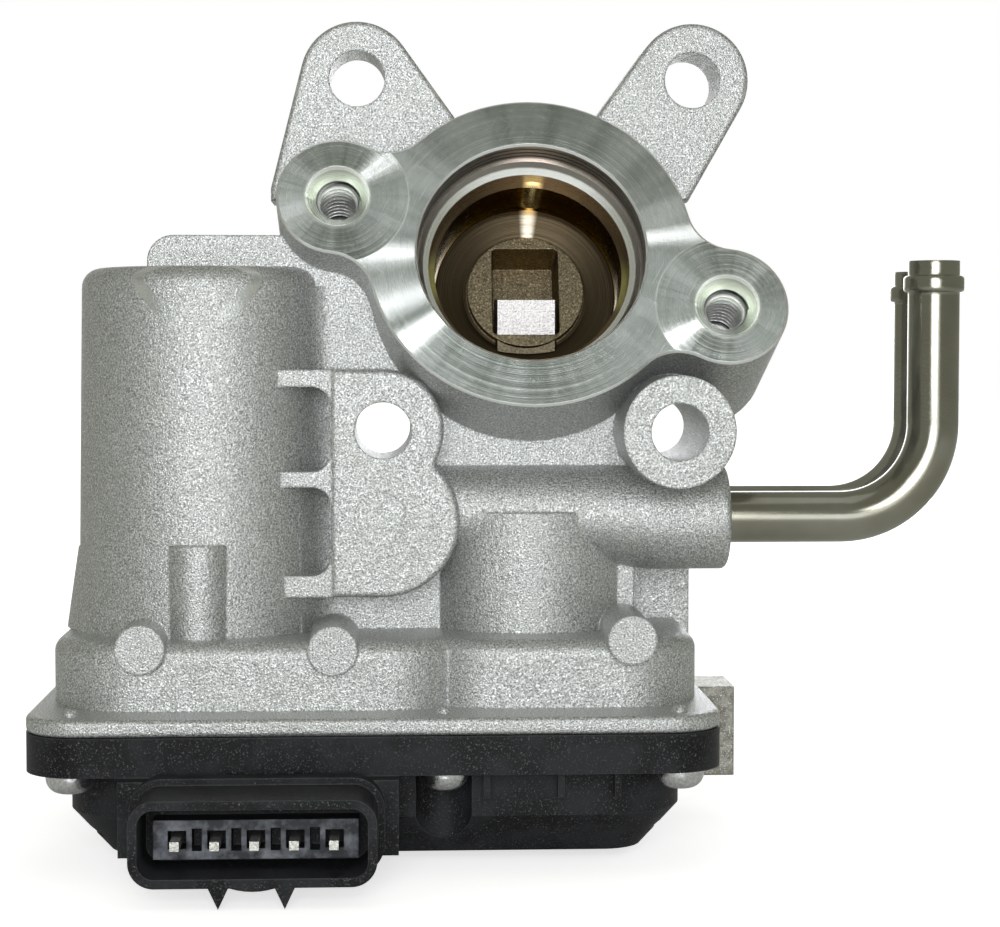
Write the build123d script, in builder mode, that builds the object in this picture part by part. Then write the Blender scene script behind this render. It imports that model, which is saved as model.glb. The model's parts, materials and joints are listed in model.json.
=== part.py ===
from build123d import *
from math import acos, atan2, cos, degrees, hypot, pi, radians, sin, tan
import os

os.makedirs("parts", exist_ok=True)

# An electric EGR valve in millimetres. X runs across the valve, -Y faces the front flange,
# +Z runs up the valve shaft. The origin lies on the rear mounting face, midway between
# the two lower mounting holes.

# Running fits and clearances
running_gap = 0.05
open_gap = 0.3
seat_gap = 0.15

# Rear mounting face and its four M8 clearance holes
mount_hole_r = 4.3
top_hole_x = 26.1
top_hole_z = 54.25
low_hole_x = 22.2
low_hole_z = 0.0
ear_r = 8.8
ear_thick = 12.0
cast_edge_r = 0.8
machined_edge = 0.35
cast_root_r = 4.2
root_start = 0.75
root_reach = 9.0
cut_over = 1.0
ear_root_z = 37.35
ear_root_gap = 3.0
left_ear_root = -39.5
right_ear_root = 25.5
body_thick = 14.0
body_left = -31.0
body_right = 17.0
body_top = 39.35
wing_left = -58.4
wing_rise = 5.0
wing_corner_r = 4.0
boss_front = 29.3
boss_r = 8.5
spigot_r = 20.0
spigot_height = 6.0

# Front port: a flange face leaned back, with two threaded lobes
port_tilt = 20.0
port_x = 0.45
port_face_y = -21.0
port_face_z = 27.35
port_ring_r = 25.0
port_bolt_x = 29.5
port_bolt_v = -8.9
port_lobe_r = 9.4
port_neck_fillet = 7.0
port_reach = 36.0
thread_minor_r = 3.35
thread_depth = 15.0
thread_sink_r = 5.0
mouth_r = 17.45
throat_r = 15.6
throat_depth = 9.4

# Port sleeve and valve plate, along the port axis
sleeve_bore_r = 14.6
sleeve_wall = 1.6
plate_rim_gap = 0.35
plate_thick = 3.0
plate_face_depth = 17.4
hub_r = 9.25
hub_face_depth = 17.0
hub_back_depth = 26.4
pocket_width = 10.6
pocket_height = 14.6
pocket_depth = 7.8
dish_depth = 0.9
dish_rim = 1.2
dish_foot = 0.6
pocket_corner_r = 0.8
pocket_draft = 3
seal_ring_width = 1.1
seal_ring_depth = 1.2
seal_ring_gap = 0.1

# Valve shaft and what carries it
shaft_y = -5.2
shaft_r = 5.0
shaft_flat = 2.1
shaft_top_z = 20.15
shaft_step_z = -9.15
shaft_low_r = 4.0
bush_r = 7.0
bush_top_z = 0.95
bush_length = 9.4
seal_r = 7.5
seal_top_z = -10.95
seal_height = 4.0
bearing_r = 8.0
bearing_height = 5.0
race_wall = 1.3
ball_count = 9

# Gear chamber
wall = 2.6
roof_z = -31.15
joint_z = -43.95
flange_height = 2.6
flange_left = -75.0
flange_right = 28.2
flange_front = -38.0
flange_back = 26.2
flange_corner_r = 8.5
chamber_front = -30.5
chamber_back = 19.5
motor_lobe_left = -72.5
motor_lobe_right = -8.0
motor_lobe_r = 14.0
shaft_lobe_left = -17.0
shaft_lobe_right = 26.0
shaft_lobe_front = -29.5
shaft_lobe_r = 12.0
shoulder_fillet = 2.5

# Motor tower
motor_x = -50.0
motor_y = -5.6
tower_top_r = 19.3
tower_foot_r = 20.3
skirt_r = 21.2
skirt_top_r = 19.4
skirt_height = 12.5
skirt_x = -51.0
skirt_y = -4.4
tower_fillet = 3.0
can_r = 17.0
can_length = 53.0
can_wall = 1.0
can_corner_r = 1.5
motor_top_gap = 0.6
end_cap_height = 2.5

# Spring tower around the lower shaft
spring_tower_r = 16.4
spring_chamber_r = 13.6
spring_mean_r = 11.0
spring_wire = 1.5
spring_pitch = 2.2
spring_turns = 4

# Gears
pinion_teeth = 11
wheel_teeth = 49
first_module = 0.8
small_teeth = 13
sector_teeth = 40
second_module = 1.0
sector_arc_teeth = 14
sector_height = 7.0
wheel_height = 5.0
gear_step = 0.9
roof_gap = 1.3
idler_pin_r = 2.5
motor_shaft_r = 1.6
hub_neck_r = 5.2
tooth_root = 1.2
tooth_tip = 0.9
tooth_half = 0.235

# Coolant jacket and pipes
jacket_z = -12.55
jacket_r = 6.9
jacket_front_y = -13.0
jacket_back_y = 1.0
jacket_left = -16.0
jacket_end = 31.4
jacket_swell_r = 8.1
jacket_swell_z = -13.95
jacket_swell_from = 3.0
jacket_swell_to = 19.0
jacket_neck = 0.4
jacket_edge_r = 1.0
pipe_front_y = -14.0
pipe_pitch_y = 16.0
pipe_z = -13.85
pipe_r = 4.0
pipe_wall = 0.8
pipe_x = 64.0
rear_pipe_step_x = 1.4
rear_pipe_drop = 1.2
pipe_top_z = 26.15
pipe_bend_r = 14.5
pipe_socket = 12.0
pipe_bead_r = 4.7
pipe_bead_drop = 3.6
pipe_bead_width = 2.6
coolant_turn_x = 13.0

# Cast pad on the left lower hole, with three ribs to the motor tower
pad_front = 21.5
pad_low_r = 11.6
pad_body_left = -30.1
pad_top_z = 9.25
pad_bottom_z = -25.45
rib_left = -39.0
rib_heights = (2.6, 2.4, 3.3)
rib_middle_z = -7.45
rib_setback = 0.4
rib_overlap = 2.0
rib_root_r = 3.0
pad_waist_r = 1.5

# Cover and connector
cover_rim = 5.8
cover_depth = 13.5
cover_wall = 2.5
cover_left = -69.5
cover_right = 23.0
cover_front = -33.0
cover_back = 17.5
cover_corner_r = 12.0
cover_slope = 6.5
cover_slope_rise = 5.85
socket_x = -40.2
socket_z = -55.85
socket_width = 34.4
socket_height = 12.2
socket_corner_r = 3.6
socket_wall = 1.3
socket_front = -55.0
socket_depth = 12.0
block_width = 40.4
block_front = -41.0
terminal_count = 5
terminal_pitch = 5.55
terminal_size = 1.3
terminal_tip_gap = 3.5
terminal_tail = 7.5

# Cover screws
screw_xs = (-68.0, -13.3, 21.7)
screw_front_y = -33.6
screw_back_y = 22.2
screw_r = 1.9
screw_head_r = 3.65
screw_head_height = 2.8
screw_dome_r = 2.24
drive_r = 1.45
drive_lobe_r = 0.4
drive_depth = 1.7

# Small castings on the housing
tower_rib_y = -22.6
tower_rib_r = 5.0
tower_rib_height = 14.1
ejector_pads = ((-58.1, -31.95), (-29.7, -32.25), (14.9, -30.95))
ejector_r = 3.7
ejector_root = 15.0
ejector_front = 32.0
nub_r = 1.2
rear_block_left = 12.0
rear_block_right = 27.2
rear_block_front = -2.0
rear_block_depth = 14.0
rear_block_height = 12.0
lug_width = 6.5
lug_length = 12.0
lug_y = 5.0
lug_top_z = -42.6
lug_foot_z = -57.15

# Mouth of the front port, gasket and blind holes
mouth_land = 5.2
throat_step = 1.6
gasket_land = 0.4
gasket_width = 1.6
gasket_depth = 1.2
pin_seat = 6.0
screw_bite = 2.2

# Shaft end, yoke, magnets and sensor
shaft_flat_length = 11.0
sector_lead_teeth = 2
yoke_r = 9.0
yoke_wall = 1.2
yoke_height = 6.5
cup_web = 1.6
sensor_magnet_bore = 5.8
sensor_magnet_sweep = 140
sensor_r = 4.4
sensor_gap = 1.8
sensor_base = 1.6
wheel_recess_outer = 16.5
wheel_recess_inner = 8.5
pin_cover_seat = 9.0

# Motor innards and retainer
bush_seat_r = 4.0
bush_seat_depth = 4.0
core_r = 12.4
core_drop = 11.4
core_length = 26.0
air_gap = 0.5
magnet_overhang = 3.0
field_magnet_sweep = 136
slot_count = 5
slot_depth = 6.0
slot_width = 3.0
winding_height = 4.0
winding_step = 1.5
winding_bore_r = 2.4
slot_liner = 0.5
commutator_r = 4.5
commutator_height = 5.0
brush_length = 5.0
brush_width = 3.0
holder_gap = 2.0
retainer_screws = ((-33.4, 6.0), (-36.95, -21.15))
retainer_screw_r = 1.5
retainer_bite = 2.0
retainer_thick = 1.2
retainer_r = 14.0
retainer_bore_r = 9.0
retainer_ear_r = 3.4
retainer_head_r = 2.7
retainer_head = 1.8

# Connector and cover details
block_depth = 10.0
block_height = 11.0
collar_length = 3.0
collar_step = 1.0
lock_xs = (-45.0, -35.8)
ramp_width = 3.4
ramp_height = 3.6
ramp_length = 8.0
cover_rib_xs = (-7.0, 4.0, 12.4)
cover_rib_reach = 2.2
cover_rib_width = 1.0
cover_rib_height = 4.0
screw_pocket_r = 4.2
screw_boss_wall = 1.5
terminal_z = -56.85
insulator_width = 29.0
insulator_height = 5.6
insulator_length = 4.0
key_slot_width = 1.4
key_slot_height = 3.2
swell_half_width = 3.2
swell_drop = 0.5

# Places worked out from the sizes above
pad_lobe_r = pad_top_z - low_hole_z
pad_low_z = pad_bottom_z + pad_low_r
pad_height = pad_top_z - pad_bottom_z
rib_zs = (pad_top_z - rib_heights[0] / 2, rib_middle_z, pad_bottom_z + rib_heights[2] / 2)
rib_root_xs = (pad_body_left - seat_gap, pad_body_left + seat_gap)
tilt = radians(port_tilt)
port = Plane(
    origin=(port_x, port_face_y, port_face_z), x_dir=(1, 0, 0), z_dir=(0, -cos(tilt), sin(tilt))
)
axis_depth = (shaft_y - port_face_y) / cos(tilt)
sleeve_r = sleeve_bore_r + sleeve_wall
port_normal = Axis(port.origin, port.z_dir)
port_foot_z = port_face_z + port_face_y * tan(tilt)
port_centre_z = port_face_z - axis_depth * sin(tilt)
rim_z = joint_z - cover_rim
floor_z = rim_z - cover_depth
roof_under_z = roof_z - wall
sector_top_z = roof_under_z - roof_gap
sector_foot_z = sector_top_z - sector_height
wheel_top_z = sector_foot_z - gear_step
wheel_foot_z = wheel_top_z - wheel_height
seal_foot_z = seal_top_z - seal_height
bearing_top_z = seal_foot_z - open_gap
bearing_foot_z = bearing_top_z - bearing_height
spring_top_z = bearing_foot_z
can_foot_z = roof_under_z + end_cap_height
can_top_z = can_foot_z + can_length
tower_top_z = can_top_z + motor_top_gap + wall
wing_top = tower_top_z + wing_rise
core_top_z = can_top_z - core_drop
cup_top_z = wheel_foot_z - gear_step
flange_top_z = joint_z + flange_height

# The idler sits where its two centre distances meet, on the front side of the line
# from the motor to the valve shaft
first_centres = first_module * (pinion_teeth + wheel_teeth) / 2
second_centres = second_module * (small_teeth + sector_teeth) / 2
motor_span = hypot(port_x - motor_x, shaft_y - motor_y)
motor_bearing = atan2(shaft_y - motor_y, port_x - motor_x)
idler_lean = acos(
    (motor_span**2 + first_centres**2 - second_centres**2) / (2 * motor_span * first_centres)
)
idler_x = motor_x + first_centres * cos(motor_bearing - idler_lean)
idler_y = motor_y + first_centres * sin(motor_bearing - idler_lean)
mesh_bearing = degrees(atan2(idler_y - shaft_y, idler_x - port_x))
pinion_bearing = degrees(atan2(idler_y - motor_y, idler_x - motor_x))


def gear_teeth(teeth, module, turn=0.0, count=0):
    """Plan of a spur gear's teeth, or of a sector's first count teeth from an angle."""
    pitch_r = module * teeth / 2
    root_r = pitch_r - tooth_root * module
    tip_r = pitch_r + tooth_tip * module
    half = degrees(tooth_half * pi * module / pitch_r)
    flank = ((root_r, half * 1.5), (pitch_r, half), (tip_r, half * 0.42))
    right = [(r * cos(radians(a)), -r * sin(radians(a))) for r, a in flank]
    left = [(x, -y) for x, y in reversed(right)]
    copies = count or teeth
    with BuildSketch(mode=Mode.PRIVATE) as gear:
        with PolarLocations(0, copies, turn, 360 * copies / teeth):
            Polygon((root_r - module, 0), *right, *left, align=None)
    return gear.sketch


def sector_plan(radius, start, sweep):
    """A pie slice of a disc about the origin."""
    with BuildSketch(mode=Mode.PRIVATE) as plan:
        with BuildLine():
            rim = CenterArc((0, 0), radius, start, sweep)
            Line((0, 0), rim @ 0)
            Line(rim @ 1, (0, 0))
        make_face()
    return plan.sketch


def chamber_plan(inset=0.0):
    """Plan of the gear chamber: a motor lobe and a shaft lobe that meet in a valley."""
    motor_middle = (motor_lobe_left + motor_lobe_right) / 2
    shaft_middle = (shaft_lobe_left + shaft_lobe_right) / 2
    motor_width = motor_lobe_right - motor_lobe_left - 2 * inset
    shaft_width = shaft_lobe_right - shaft_lobe_left - 2 * inset
    with BuildSketch(mode=Mode.PRIVATE) as plan:
        with Locations((motor_middle, (chamber_front + chamber_back) / 2)):
            RectangleRounded(
                motor_width, chamber_back - chamber_front - 2 * inset, motor_lobe_r - inset
            )
        with Locations((shaft_middle, (shaft_lobe_front + chamber_back) / 2)):
            RectangleRounded(
                shaft_width, chamber_back - shaft_lobe_front - 2 * inset, shaft_lobe_r - inset
            )
    return plan.sketch


def tower_root(radius):
    """Plan of the rounded valley where the motor tower meets the front of the plate."""
    plate_start = motor_x + radius * root_start
    with BuildSketch(mode=Mode.PRIVATE) as plan:
        with Locations((motor_x, motor_y)):
            Circle(radius)
        with Locations((plate_start, -body_thick)):
            Rectangle(root_reach, body_thick / 2, align=(Align.MIN, Align.MIN))
        fillet(plan.vertices().group_by(Axis.Y)[0].sort_by(Axis.X)[0], cast_root_r)
        with Locations((plate_start, -body_thick)):
            Rectangle(
                root_reach, body_thick, align=(Align.MIN, Align.CENTER), mode=Mode.INTERSECT
            )
    return plan.sketch


def flange_plan():
    """Plan shared by the housing flange and the cover rim."""
    with BuildSketch(mode=Mode.PRIVATE) as plan:
        with Locations(((flange_left + flange_right) / 2, (flange_front + flange_back) / 2)):
            RectangleRounded(
                flange_right - flange_left, flange_back - flange_front, flange_corner_r
            )
    return plan.sketch


# ---------------------------------------------------------------- die-cast housing
with BuildPart() as port_body:
    # Front port: ring and two lobes, run back to the mounting face
    with BuildSketch(port) as port_outline:
        Circle(port_ring_r)
        with Locations((port_bolt_x, port_bolt_v), (-port_bolt_x, -port_bolt_v)):
            Circle(port_lobe_r)
        fillet(port_outline.vertices(), port_neck_fillet)
    extrude(amount=-port_reach)
    chamfer(port_body.faces().sort_by(port_normal)[-1].edges(), machined_edge)
    split(bisect_by=Plane.XZ, keep=Keep.TOP)

with BuildPart() as pad:
    # Pad of the left lower hole: two round lobes with a straight left edge
    with BuildSketch(Plane.XZ.offset(ear_thick)) as pad_outline:
        with Locations((-low_hole_x, low_hole_z)):
            Circle(pad_lobe_r)
        with Locations((-low_hole_x, pad_low_z)):
            Circle(pad_low_r)
        with Locations((pad_body_left, pad_top_z)):
            Rectangle(
                -low_hole_x - pad_body_left, pad_height, align=(Align.MIN, Align.MAX)
            )
            Rectangle(pad_low_r, pad_height, align=(Align.MAX, Align.MAX), mode=Mode.SUBTRACT)
        fillet(pad_outline.vertices().sort_by(Axis.X)[-1], pad_waist_r)
    extrude(amount=pad_front - ear_thick)
    fillet(pad.faces().sort_by(Axis.Y)[0].edges(), cast_edge_r)
    # Three ribs that tie it to the motor tower
    with BuildSketch(Plane.XZ.offset(ear_thick)) as ribs:
        with Locations((pad_body_left, pad_top_z)):
            Rectangle(rib_overlap, pad_height, align=(Align.MIN, Align.MAX))
        for z, height in zip(rib_zs, rib_heights):
            with Locations((rib_left, z)):
                Rectangle(pad_body_left - rib_left, height, align=(Align.MIN, Align.CENTER))
        fillet(ribs.vertices().filter_by_position(Axis.X, *rib_root_xs), rib_root_r)
    extrude(amount=pad_front - ear_thick - rib_setback)

with BuildPart() as ears:
    # Upper ears, hulled from their holes down to the body
    for side, outer in ((-1, left_ear_root), (1, right_ear_root)):
        with BuildSketch(Plane.XZ):
            with Locations((side * top_hole_x, top_hole_z)):
                Circle(ear_r)
            with Locations(((outer + side * ear_root_gap) / 2, ear_root_z)):
                Rectangle(abs(outer) - ear_root_gap, 2, align=(Align.CENTER, Align.MAX))
            make_hull()
        extrude(amount=ear_thick)
    fillet(ears.faces().filter_by(Axis.Y).sort_by(Axis.Y)[:2].edges(), cast_edge_r)

with BuildPart() as housing:
    # Gear chamber shoulder, its flange and the ledge round it
    with BuildSketch(Plane.XY.offset(flange_top_z)):
        add(chamber_plan())
    extrude(amount=roof_z - flange_top_z)
    fillet(housing.edges().group_by(Axis.Z)[-1], shoulder_fillet)
    with BuildSketch(Plane.XY.offset(joint_z)):
        add(flange_plan())
    extrude(amount=flange_height)

    # Motor tower with its drafted wall and rounded crown
    tower_height = tower_top_z - roof_z + 2 * shoulder_fillet
    with Locations((motor_x, motor_y, tower_top_z)):
        Cone(
            tower_foot_r, tower_top_r, tower_height, align=(Align.CENTER, Align.CENTER, Align.MAX)
        )
    fillet(housing.edges().group_by(Axis.Z)[-1], tower_fillet)

    # Skirt that spreads the outer side of the tower's foot onto the chamber
    with Locations((skirt_x, skirt_y, roof_z)):
        Cone(skirt_r, skirt_top_r, skirt_height, align=(Align.CENTER, Align.CENTER, Align.MIN))

    # Spring tower about the shaft, and the block that joins it to the mounting plate
    with Locations((port_x, shaft_y, bearing_top_z + wall)):
        Cylinder(
            spring_tower_r,
            bearing_top_z + wall - roof_z + shoulder_fillet,
            align=(Align.CENTER, Align.CENTER, Align.MAX),
        )
    with BuildSketch(Plane.XZ):
        with Locations(((wing_left + body_right) / 2, wing_top)):
            Rectangle(
                body_right - wing_left, wing_top - pad_top_z, align=(Align.CENTER, Align.MAX)
            )
        with Locations(((body_left + body_right) / 2, body_top)):
            Rectangle(
                body_right - body_left,
                body_top - roof_z + shoulder_fillet,
                align=(Align.CENTER, Align.MAX),
            )
    extrude(amount=body_thick)
    wing_corner = housing.edges().filter_by(Axis.Y).sort_by(
        lambda edge: abs(edge.center().X - wing_left) + abs(edge.center().Z - wing_top)
    )[0]
    fillet(wing_corner, wing_corner_r)

    # Rounded root between the tower and the plate
    with BuildSketch(Plane.XY.offset(roof_z)):
        add(tower_root(tower_foot_r))
    with BuildSketch(Plane.XY.offset(tower_top_z - tower_fillet)):
        add(tower_root(tower_top_r))
    loft()

    add(ears.part)

    # Low block behind the spring tower
    with BuildSketch(Plane.XY.offset(roof_z - shoulder_fillet)):
        with Locations(((rear_block_left + rear_block_right) / 2, rear_block_front)):
            Rectangle(
                rear_block_right - rear_block_left,
                rear_block_depth,
                align=(Align.CENTER, Align.MIN),
            )
    extrude(amount=rear_block_height + shoulder_fillet)

    # Boss of the right lower hole
    with BuildSketch(Plane.XZ):
        with Locations((low_hole_x, low_hole_z)):
            Circle(boss_r)
    extrude(amount=boss_front)
    fillet(housing.faces().filter_by(Axis.Y).sort_by(Axis.Y)[0].edges(), cast_edge_r)

    # Coolant jacket: a round-edged bar that swells towards its open end
    jacket_middle_y = (jacket_front_y + jacket_back_y) / 2
    jacket_span = jacket_back_y - jacket_front_y
    with BuildSketch(Plane.YZ.offset(jacket_left)):
        with Locations((jacket_middle_y, jacket_z)):
            SlotCenterToCenter(jacket_span, 2 * jacket_r)
    extrude(amount=jacket_end - jacket_left)
    for x, r, z in (
        (jacket_swell_from, jacket_r - jacket_neck, jacket_z),
        (jacket_swell_to, jacket_swell_r, jacket_swell_z),
    ):
        with BuildSketch(Plane.YZ.offset(x)):
            with Locations((jacket_middle_y, z)):
                SlotCenterToCenter(jacket_span, 2 * r)
    loft()
    with BuildSketch(Plane.YZ.offset(jacket_swell_to)):
        with Locations((jacket_middle_y, jacket_swell_z)):
            SlotCenterToCenter(jacket_span, 2 * jacket_swell_r)
    extrude(amount=jacket_end - jacket_swell_to)
    fillet(housing.faces().sort_by(Axis.X)[-1].edges(), jacket_edge_r)

    add(pad.part)
    add(port_body.part)

    # Locating spigot round the rear port
    with BuildSketch(Plane.XZ):
        with Locations((port_x, port_foot_z - spigot_height / 2 * tan(tilt))):
            Circle(spigot_r)
    extrude(amount=-spigot_height)

    # Half-round rib low on the motor tower, ejector pads, and flange nubs over the screws
    with BuildSketch(Plane.XY.offset(roof_z)):
        with Locations((motor_x, tower_rib_y)):
            Circle(tower_rib_r)
    extrude(amount=tower_rib_height)
    for x, z in ejector_pads:
        with BuildSketch(Plane.XZ.offset(ejector_root)):
            with Locations((x, z)):
                Circle(ejector_r)
        extrude(amount=ejector_front - ejector_root)
    for x in screw_xs:
        with Locations((x, screw_front_y, flange_top_z)):
            Sphere(nub_r)

    # Gate lug at the right rear corner
    with BuildSketch(Plane.XY.offset(lug_foot_z)):
        with Locations((flange_right + seat_gap, lug_y)):
            Rectangle(lug_width, lug_length, align=(Align.MIN, Align.CENTER))
    extrude(amount=lug_top_z - lug_foot_z)
    with BuildSketch(Plane.XY.offset(joint_z)):
        with Locations((flange_right + lug_width, lug_y)):
            Rectangle(lug_width * 2, lug_length, align=(Align.MAX, Align.CENTER))
    extrude(amount=lug_top_z - joint_z)

    # Gear chamber, open below
    with BuildSketch(Plane.XY.offset(joint_z)):
        add(chamber_plan(wall))
    extrude(amount=roof_under_z - joint_z, mode=Mode.SUBTRACT)

    # Motor bore
    with Locations((motor_x, motor_y, can_top_z + motor_top_gap)):
        Cylinder(
            can_r + seat_gap,
            can_top_z + motor_top_gap - roof_under_z + cut_over,
            align=(Align.CENTER, Align.CENTER, Align.MAX),
            mode=Mode.SUBTRACT,
        )

    # Stepped shaft bore: bush, clearance, seal, bearing and spring chamber
    for radius, top_z, foot_z in (
        (bush_r, port_centre_z, bush_top_z - bush_length),
        (shaft_r + open_gap, bush_top_z - bush_length, seal_top_z),
        (seal_r, seal_top_z, seal_foot_z - open_gap),
        (bearing_r, bearing_top_z, bearing_foot_z),
        (spring_chamber_r, bearing_foot_z, roof_under_z - cut_over),
    ):
        with Locations((port_x, shaft_y, top_z)):
            Cylinder(
                radius,
                top_z - foot_z,
                align=(Align.CENTER, Align.CENTER, Align.MAX),
                mode=Mode.SUBTRACT,
            )

    # Front port: mouth, cone and land, then the sleeve's seat through to the spigot
    with BuildSketch(port):
        Circle(mouth_r)
    extrude(amount=-mouth_land, mode=Mode.SUBTRACT)
    with BuildSketch(port):
        Circle(mouth_r + machined_edge)
    with BuildSketch(port.offset(-machined_edge)):
        Circle(mouth_r)
    loft(mode=Mode.SUBTRACT)
    with BuildSketch(port.offset(-mouth_land)):
        Circle(throat_r + throat_step)
    with BuildSketch(port.offset(-mouth_land - throat_step)):
        Circle(throat_r)
    loft(mode=Mode.SUBTRACT)
    with BuildSketch(port.offset(-mouth_land)):
        Circle(throat_r)
    extrude(amount=mouth_land - throat_depth, mode=Mode.SUBTRACT)
    with BuildSketch(port.offset(-throat_depth)):
        Circle(sleeve_r)
    extrude(amount=-port_reach, mode=Mode.SUBTRACT)

    # Threaded holes of the front port, with their countersinks
    with Locations(port):
        with Locations((port_bolt_x, port_bolt_v), (-port_bolt_x, -port_bolt_v)):
            CounterSinkHole(thread_minor_r, thread_sink_r, thread_depth)

    # Mounting holes
    with BuildSketch(Plane.XZ.offset(-cut_over)):
        with Locations(
            (top_hole_x, top_hole_z),
            (-top_hole_x, top_hole_z),
            (low_hole_x, low_hole_z),
            (-low_hole_x, low_hole_z),
        ):
            Circle(mount_hole_r)
    extrude(amount=boss_front + 2 * cut_over, mode=Mode.SUBTRACT)

    # Pipe sockets and the coolant turn that joins them inside the jacket
    pipe_ys = (pipe_front_y, pipe_front_y + pipe_pitch_y)
    for y in pipe_ys:
        with BuildSketch(Plane.YZ.offset(jacket_end)):
            with Locations((y, pipe_z)):
                Circle(pipe_r)
        extrude(amount=-pipe_socket, mode=Mode.SUBTRACT)
        with BuildSketch(Plane.YZ.offset(jacket_end)):
            with Locations((y, pipe_z)):
                Circle(pipe_r - pipe_wall)
        extrude(amount=coolant_turn_x - jacket_end, mode=Mode.SUBTRACT)
    with BuildSketch(Plane.XZ.offset(-pipe_ys[1])):
        with Locations((coolant_turn_x, pipe_z)):
            Circle(pipe_r - pipe_wall)
    extrude(amount=pipe_pitch_y, mode=Mode.SUBTRACT)

    # Idler pin seat, gasket groove and cover screw holes
    with Locations((idler_x, idler_y, roof_under_z)):
        Cylinder(idler_pin_r, pin_seat * 2, mode=Mode.SUBTRACT)
    with BuildSketch(Plane.XY.offset(joint_z)):
        add(chamber_plan(wall - gasket_land - gasket_width))
        add(chamber_plan(wall - gasket_land), mode=Mode.SUBTRACT)
    extrude(amount=gasket_depth, mode=Mode.SUBTRACT)
    for y in (screw_front_y, screw_back_y):
        for x in screw_xs:
            with Locations((x, y, joint_z)):
                Cylinder(screw_r, 2 * screw_bite, mode=Mode.SUBTRACT)

    # Blind holes of the motor retainer screws
    for x, y in retainer_screws:
        with Locations((x, y, roof_under_z)):
            Cylinder(retainer_screw_r, 2 * retainer_bite, mode=Mode.SUBTRACT)
housing.part.label = "housing"
export_step(housing.part, "parts/housing.step")

# ---------------------------------------------------------------- port sleeve and valve plate
with BuildPart() as port_sleeve:
    with BuildSketch(port.offset(-throat_depth)):
        Circle(sleeve_r)
        Circle(sleeve_bore_r, mode=Mode.SUBTRACT)
    extrude(amount=-port_reach)
    split(bisect_by=Plane.XZ.offset(seat_gap - spigot_height), keep=Keep.TOP)
    with Locations((port_x, shaft_y, port_foot_z)):
        Cylinder(
            shaft_r + open_gap,
            sleeve_r + open_gap + spigot_height,
            align=(Align.CENTER, Align.CENTER, Align.MAX),
            mode=Mode.SUBTRACT,
        )
port_sleeve.part.label = "port_sleeve"
export_step(port_sleeve.part, "parts/port_sleeve.step")

with BuildPart() as valve_shaft:
    with Locations((port_x, shaft_y, shaft_top_z)):
        Cylinder(
            shaft_r, shaft_top_z - shaft_step_z, align=(Align.CENTER, Align.CENTER, Align.MAX)
        )
    with Locations((port_x, shaft_y, shaft_step_z)):
        Cylinder(
            shaft_low_r, shaft_step_z - cup_top_z, align=(Align.CENTER, Align.CENTER, Align.MAX)
        )
    # Flat that the valve plate is welded to
    with Locations((port_x, shaft_y - shaft_flat, shaft_top_z)):
        Box(
            2 * shaft_r,
            shaft_r,
            shaft_flat_length,
            align=(Align.CENTER, Align.MAX, Align.MAX),
            mode=Mode.SUBTRACT,
        )
valve_shaft.part.label = "valve_shaft"
export_step(valve_shaft.part, "parts/valve_shaft.step")

plate_middle_depth = plate_face_depth + plate_thick / 2
with BuildPart() as valve_plate:
    with BuildSketch(port.offset(-plate_face_depth)):
        Circle(sleeve_bore_r)
    extrude(amount=-plate_thick)
    # Turned dish round the hub
    with BuildSketch(port.offset(-plate_face_depth)):
        Circle(sleeve_bore_r - dish_rim)
    with BuildSketch(port.offset(-plate_face_depth - dish_depth)):
        Circle(hub_r + dish_foot)
    loft(mode=Mode.SUBTRACT)
    with BuildSketch(port.offset(-hub_face_depth)):
        Circle(hub_r)
    extrude(amount=hub_face_depth - hub_back_depth)
    with BuildSketch(port.offset(-hub_face_depth)):
        RectangleRounded(pocket_width, pocket_height, pocket_corner_r)
    extrude(amount=-pocket_depth, taper=pocket_draft, mode=Mode.SUBTRACT)
    # Everything that turns stays inside a ball smaller than the sleeve's bore
    with Locations((port_x, shaft_y, port_centre_z)):
        Sphere(sleeve_bore_r - plate_rim_gap, mode=Mode.INTERSECT)
    with BuildSketch(port.offset(seal_ring_width / 2 - plate_middle_depth)):
        Circle(sleeve_bore_r)
        Circle(sleeve_bore_r - plate_rim_gap - seal_ring_depth, mode=Mode.SUBTRACT)
    extrude(amount=-seal_ring_width, mode=Mode.SUBTRACT)
    add(valve_shaft.part, mode=Mode.SUBTRACT)
valve_plate.part.label = "valve_plate"
export_step(valve_plate.part, "parts/valve_plate.step")

with BuildPart() as seal_ring:
    with BuildSketch(port.offset(seal_ring_width / 2 - plate_middle_depth)):
        Circle(sleeve_bore_r)
        Circle(sleeve_bore_r - plate_rim_gap - seal_ring_depth, mode=Mode.SUBTRACT)
    extrude(amount=-seal_ring_width)
    with Locations((port_x, shaft_y, port_centre_z)):
        Sphere(sleeve_bore_r - seal_ring_gap, mode=Mode.INTERSECT)
    add(valve_shaft.part, mode=Mode.SUBTRACT)
seal_ring.part.label = "plate_seal_ring"
export_step(seal_ring.part, "parts/plate_seal_ring.step")


# ---------------------------------------------------------------- shaft bearings and seal
def ring(outer, inner, top, height, x=port_x, y=shaft_y):
    """A plain ring hung from its top face, on the valve shaft unless placed elsewhere."""
    with BuildPart(mode=Mode.PRIVATE) as tube:
        with Locations((x, y, top)):
            Cylinder(outer, height, align=(Align.CENTER, Align.CENTER, Align.MAX))
            Cylinder(
                inner,
                height,
                align=(Align.CENTER, Align.CENTER, Align.MAX),
                mode=Mode.SUBTRACT,
            )
    return tube.part


with BuildPart() as shaft_bush:
    add(ring(bush_r, shaft_r + running_gap, bush_top_z, bush_length))
shaft_bush.part.label = "shaft_bush"
export_step(shaft_bush.part, "parts/shaft_bush.step")

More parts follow.
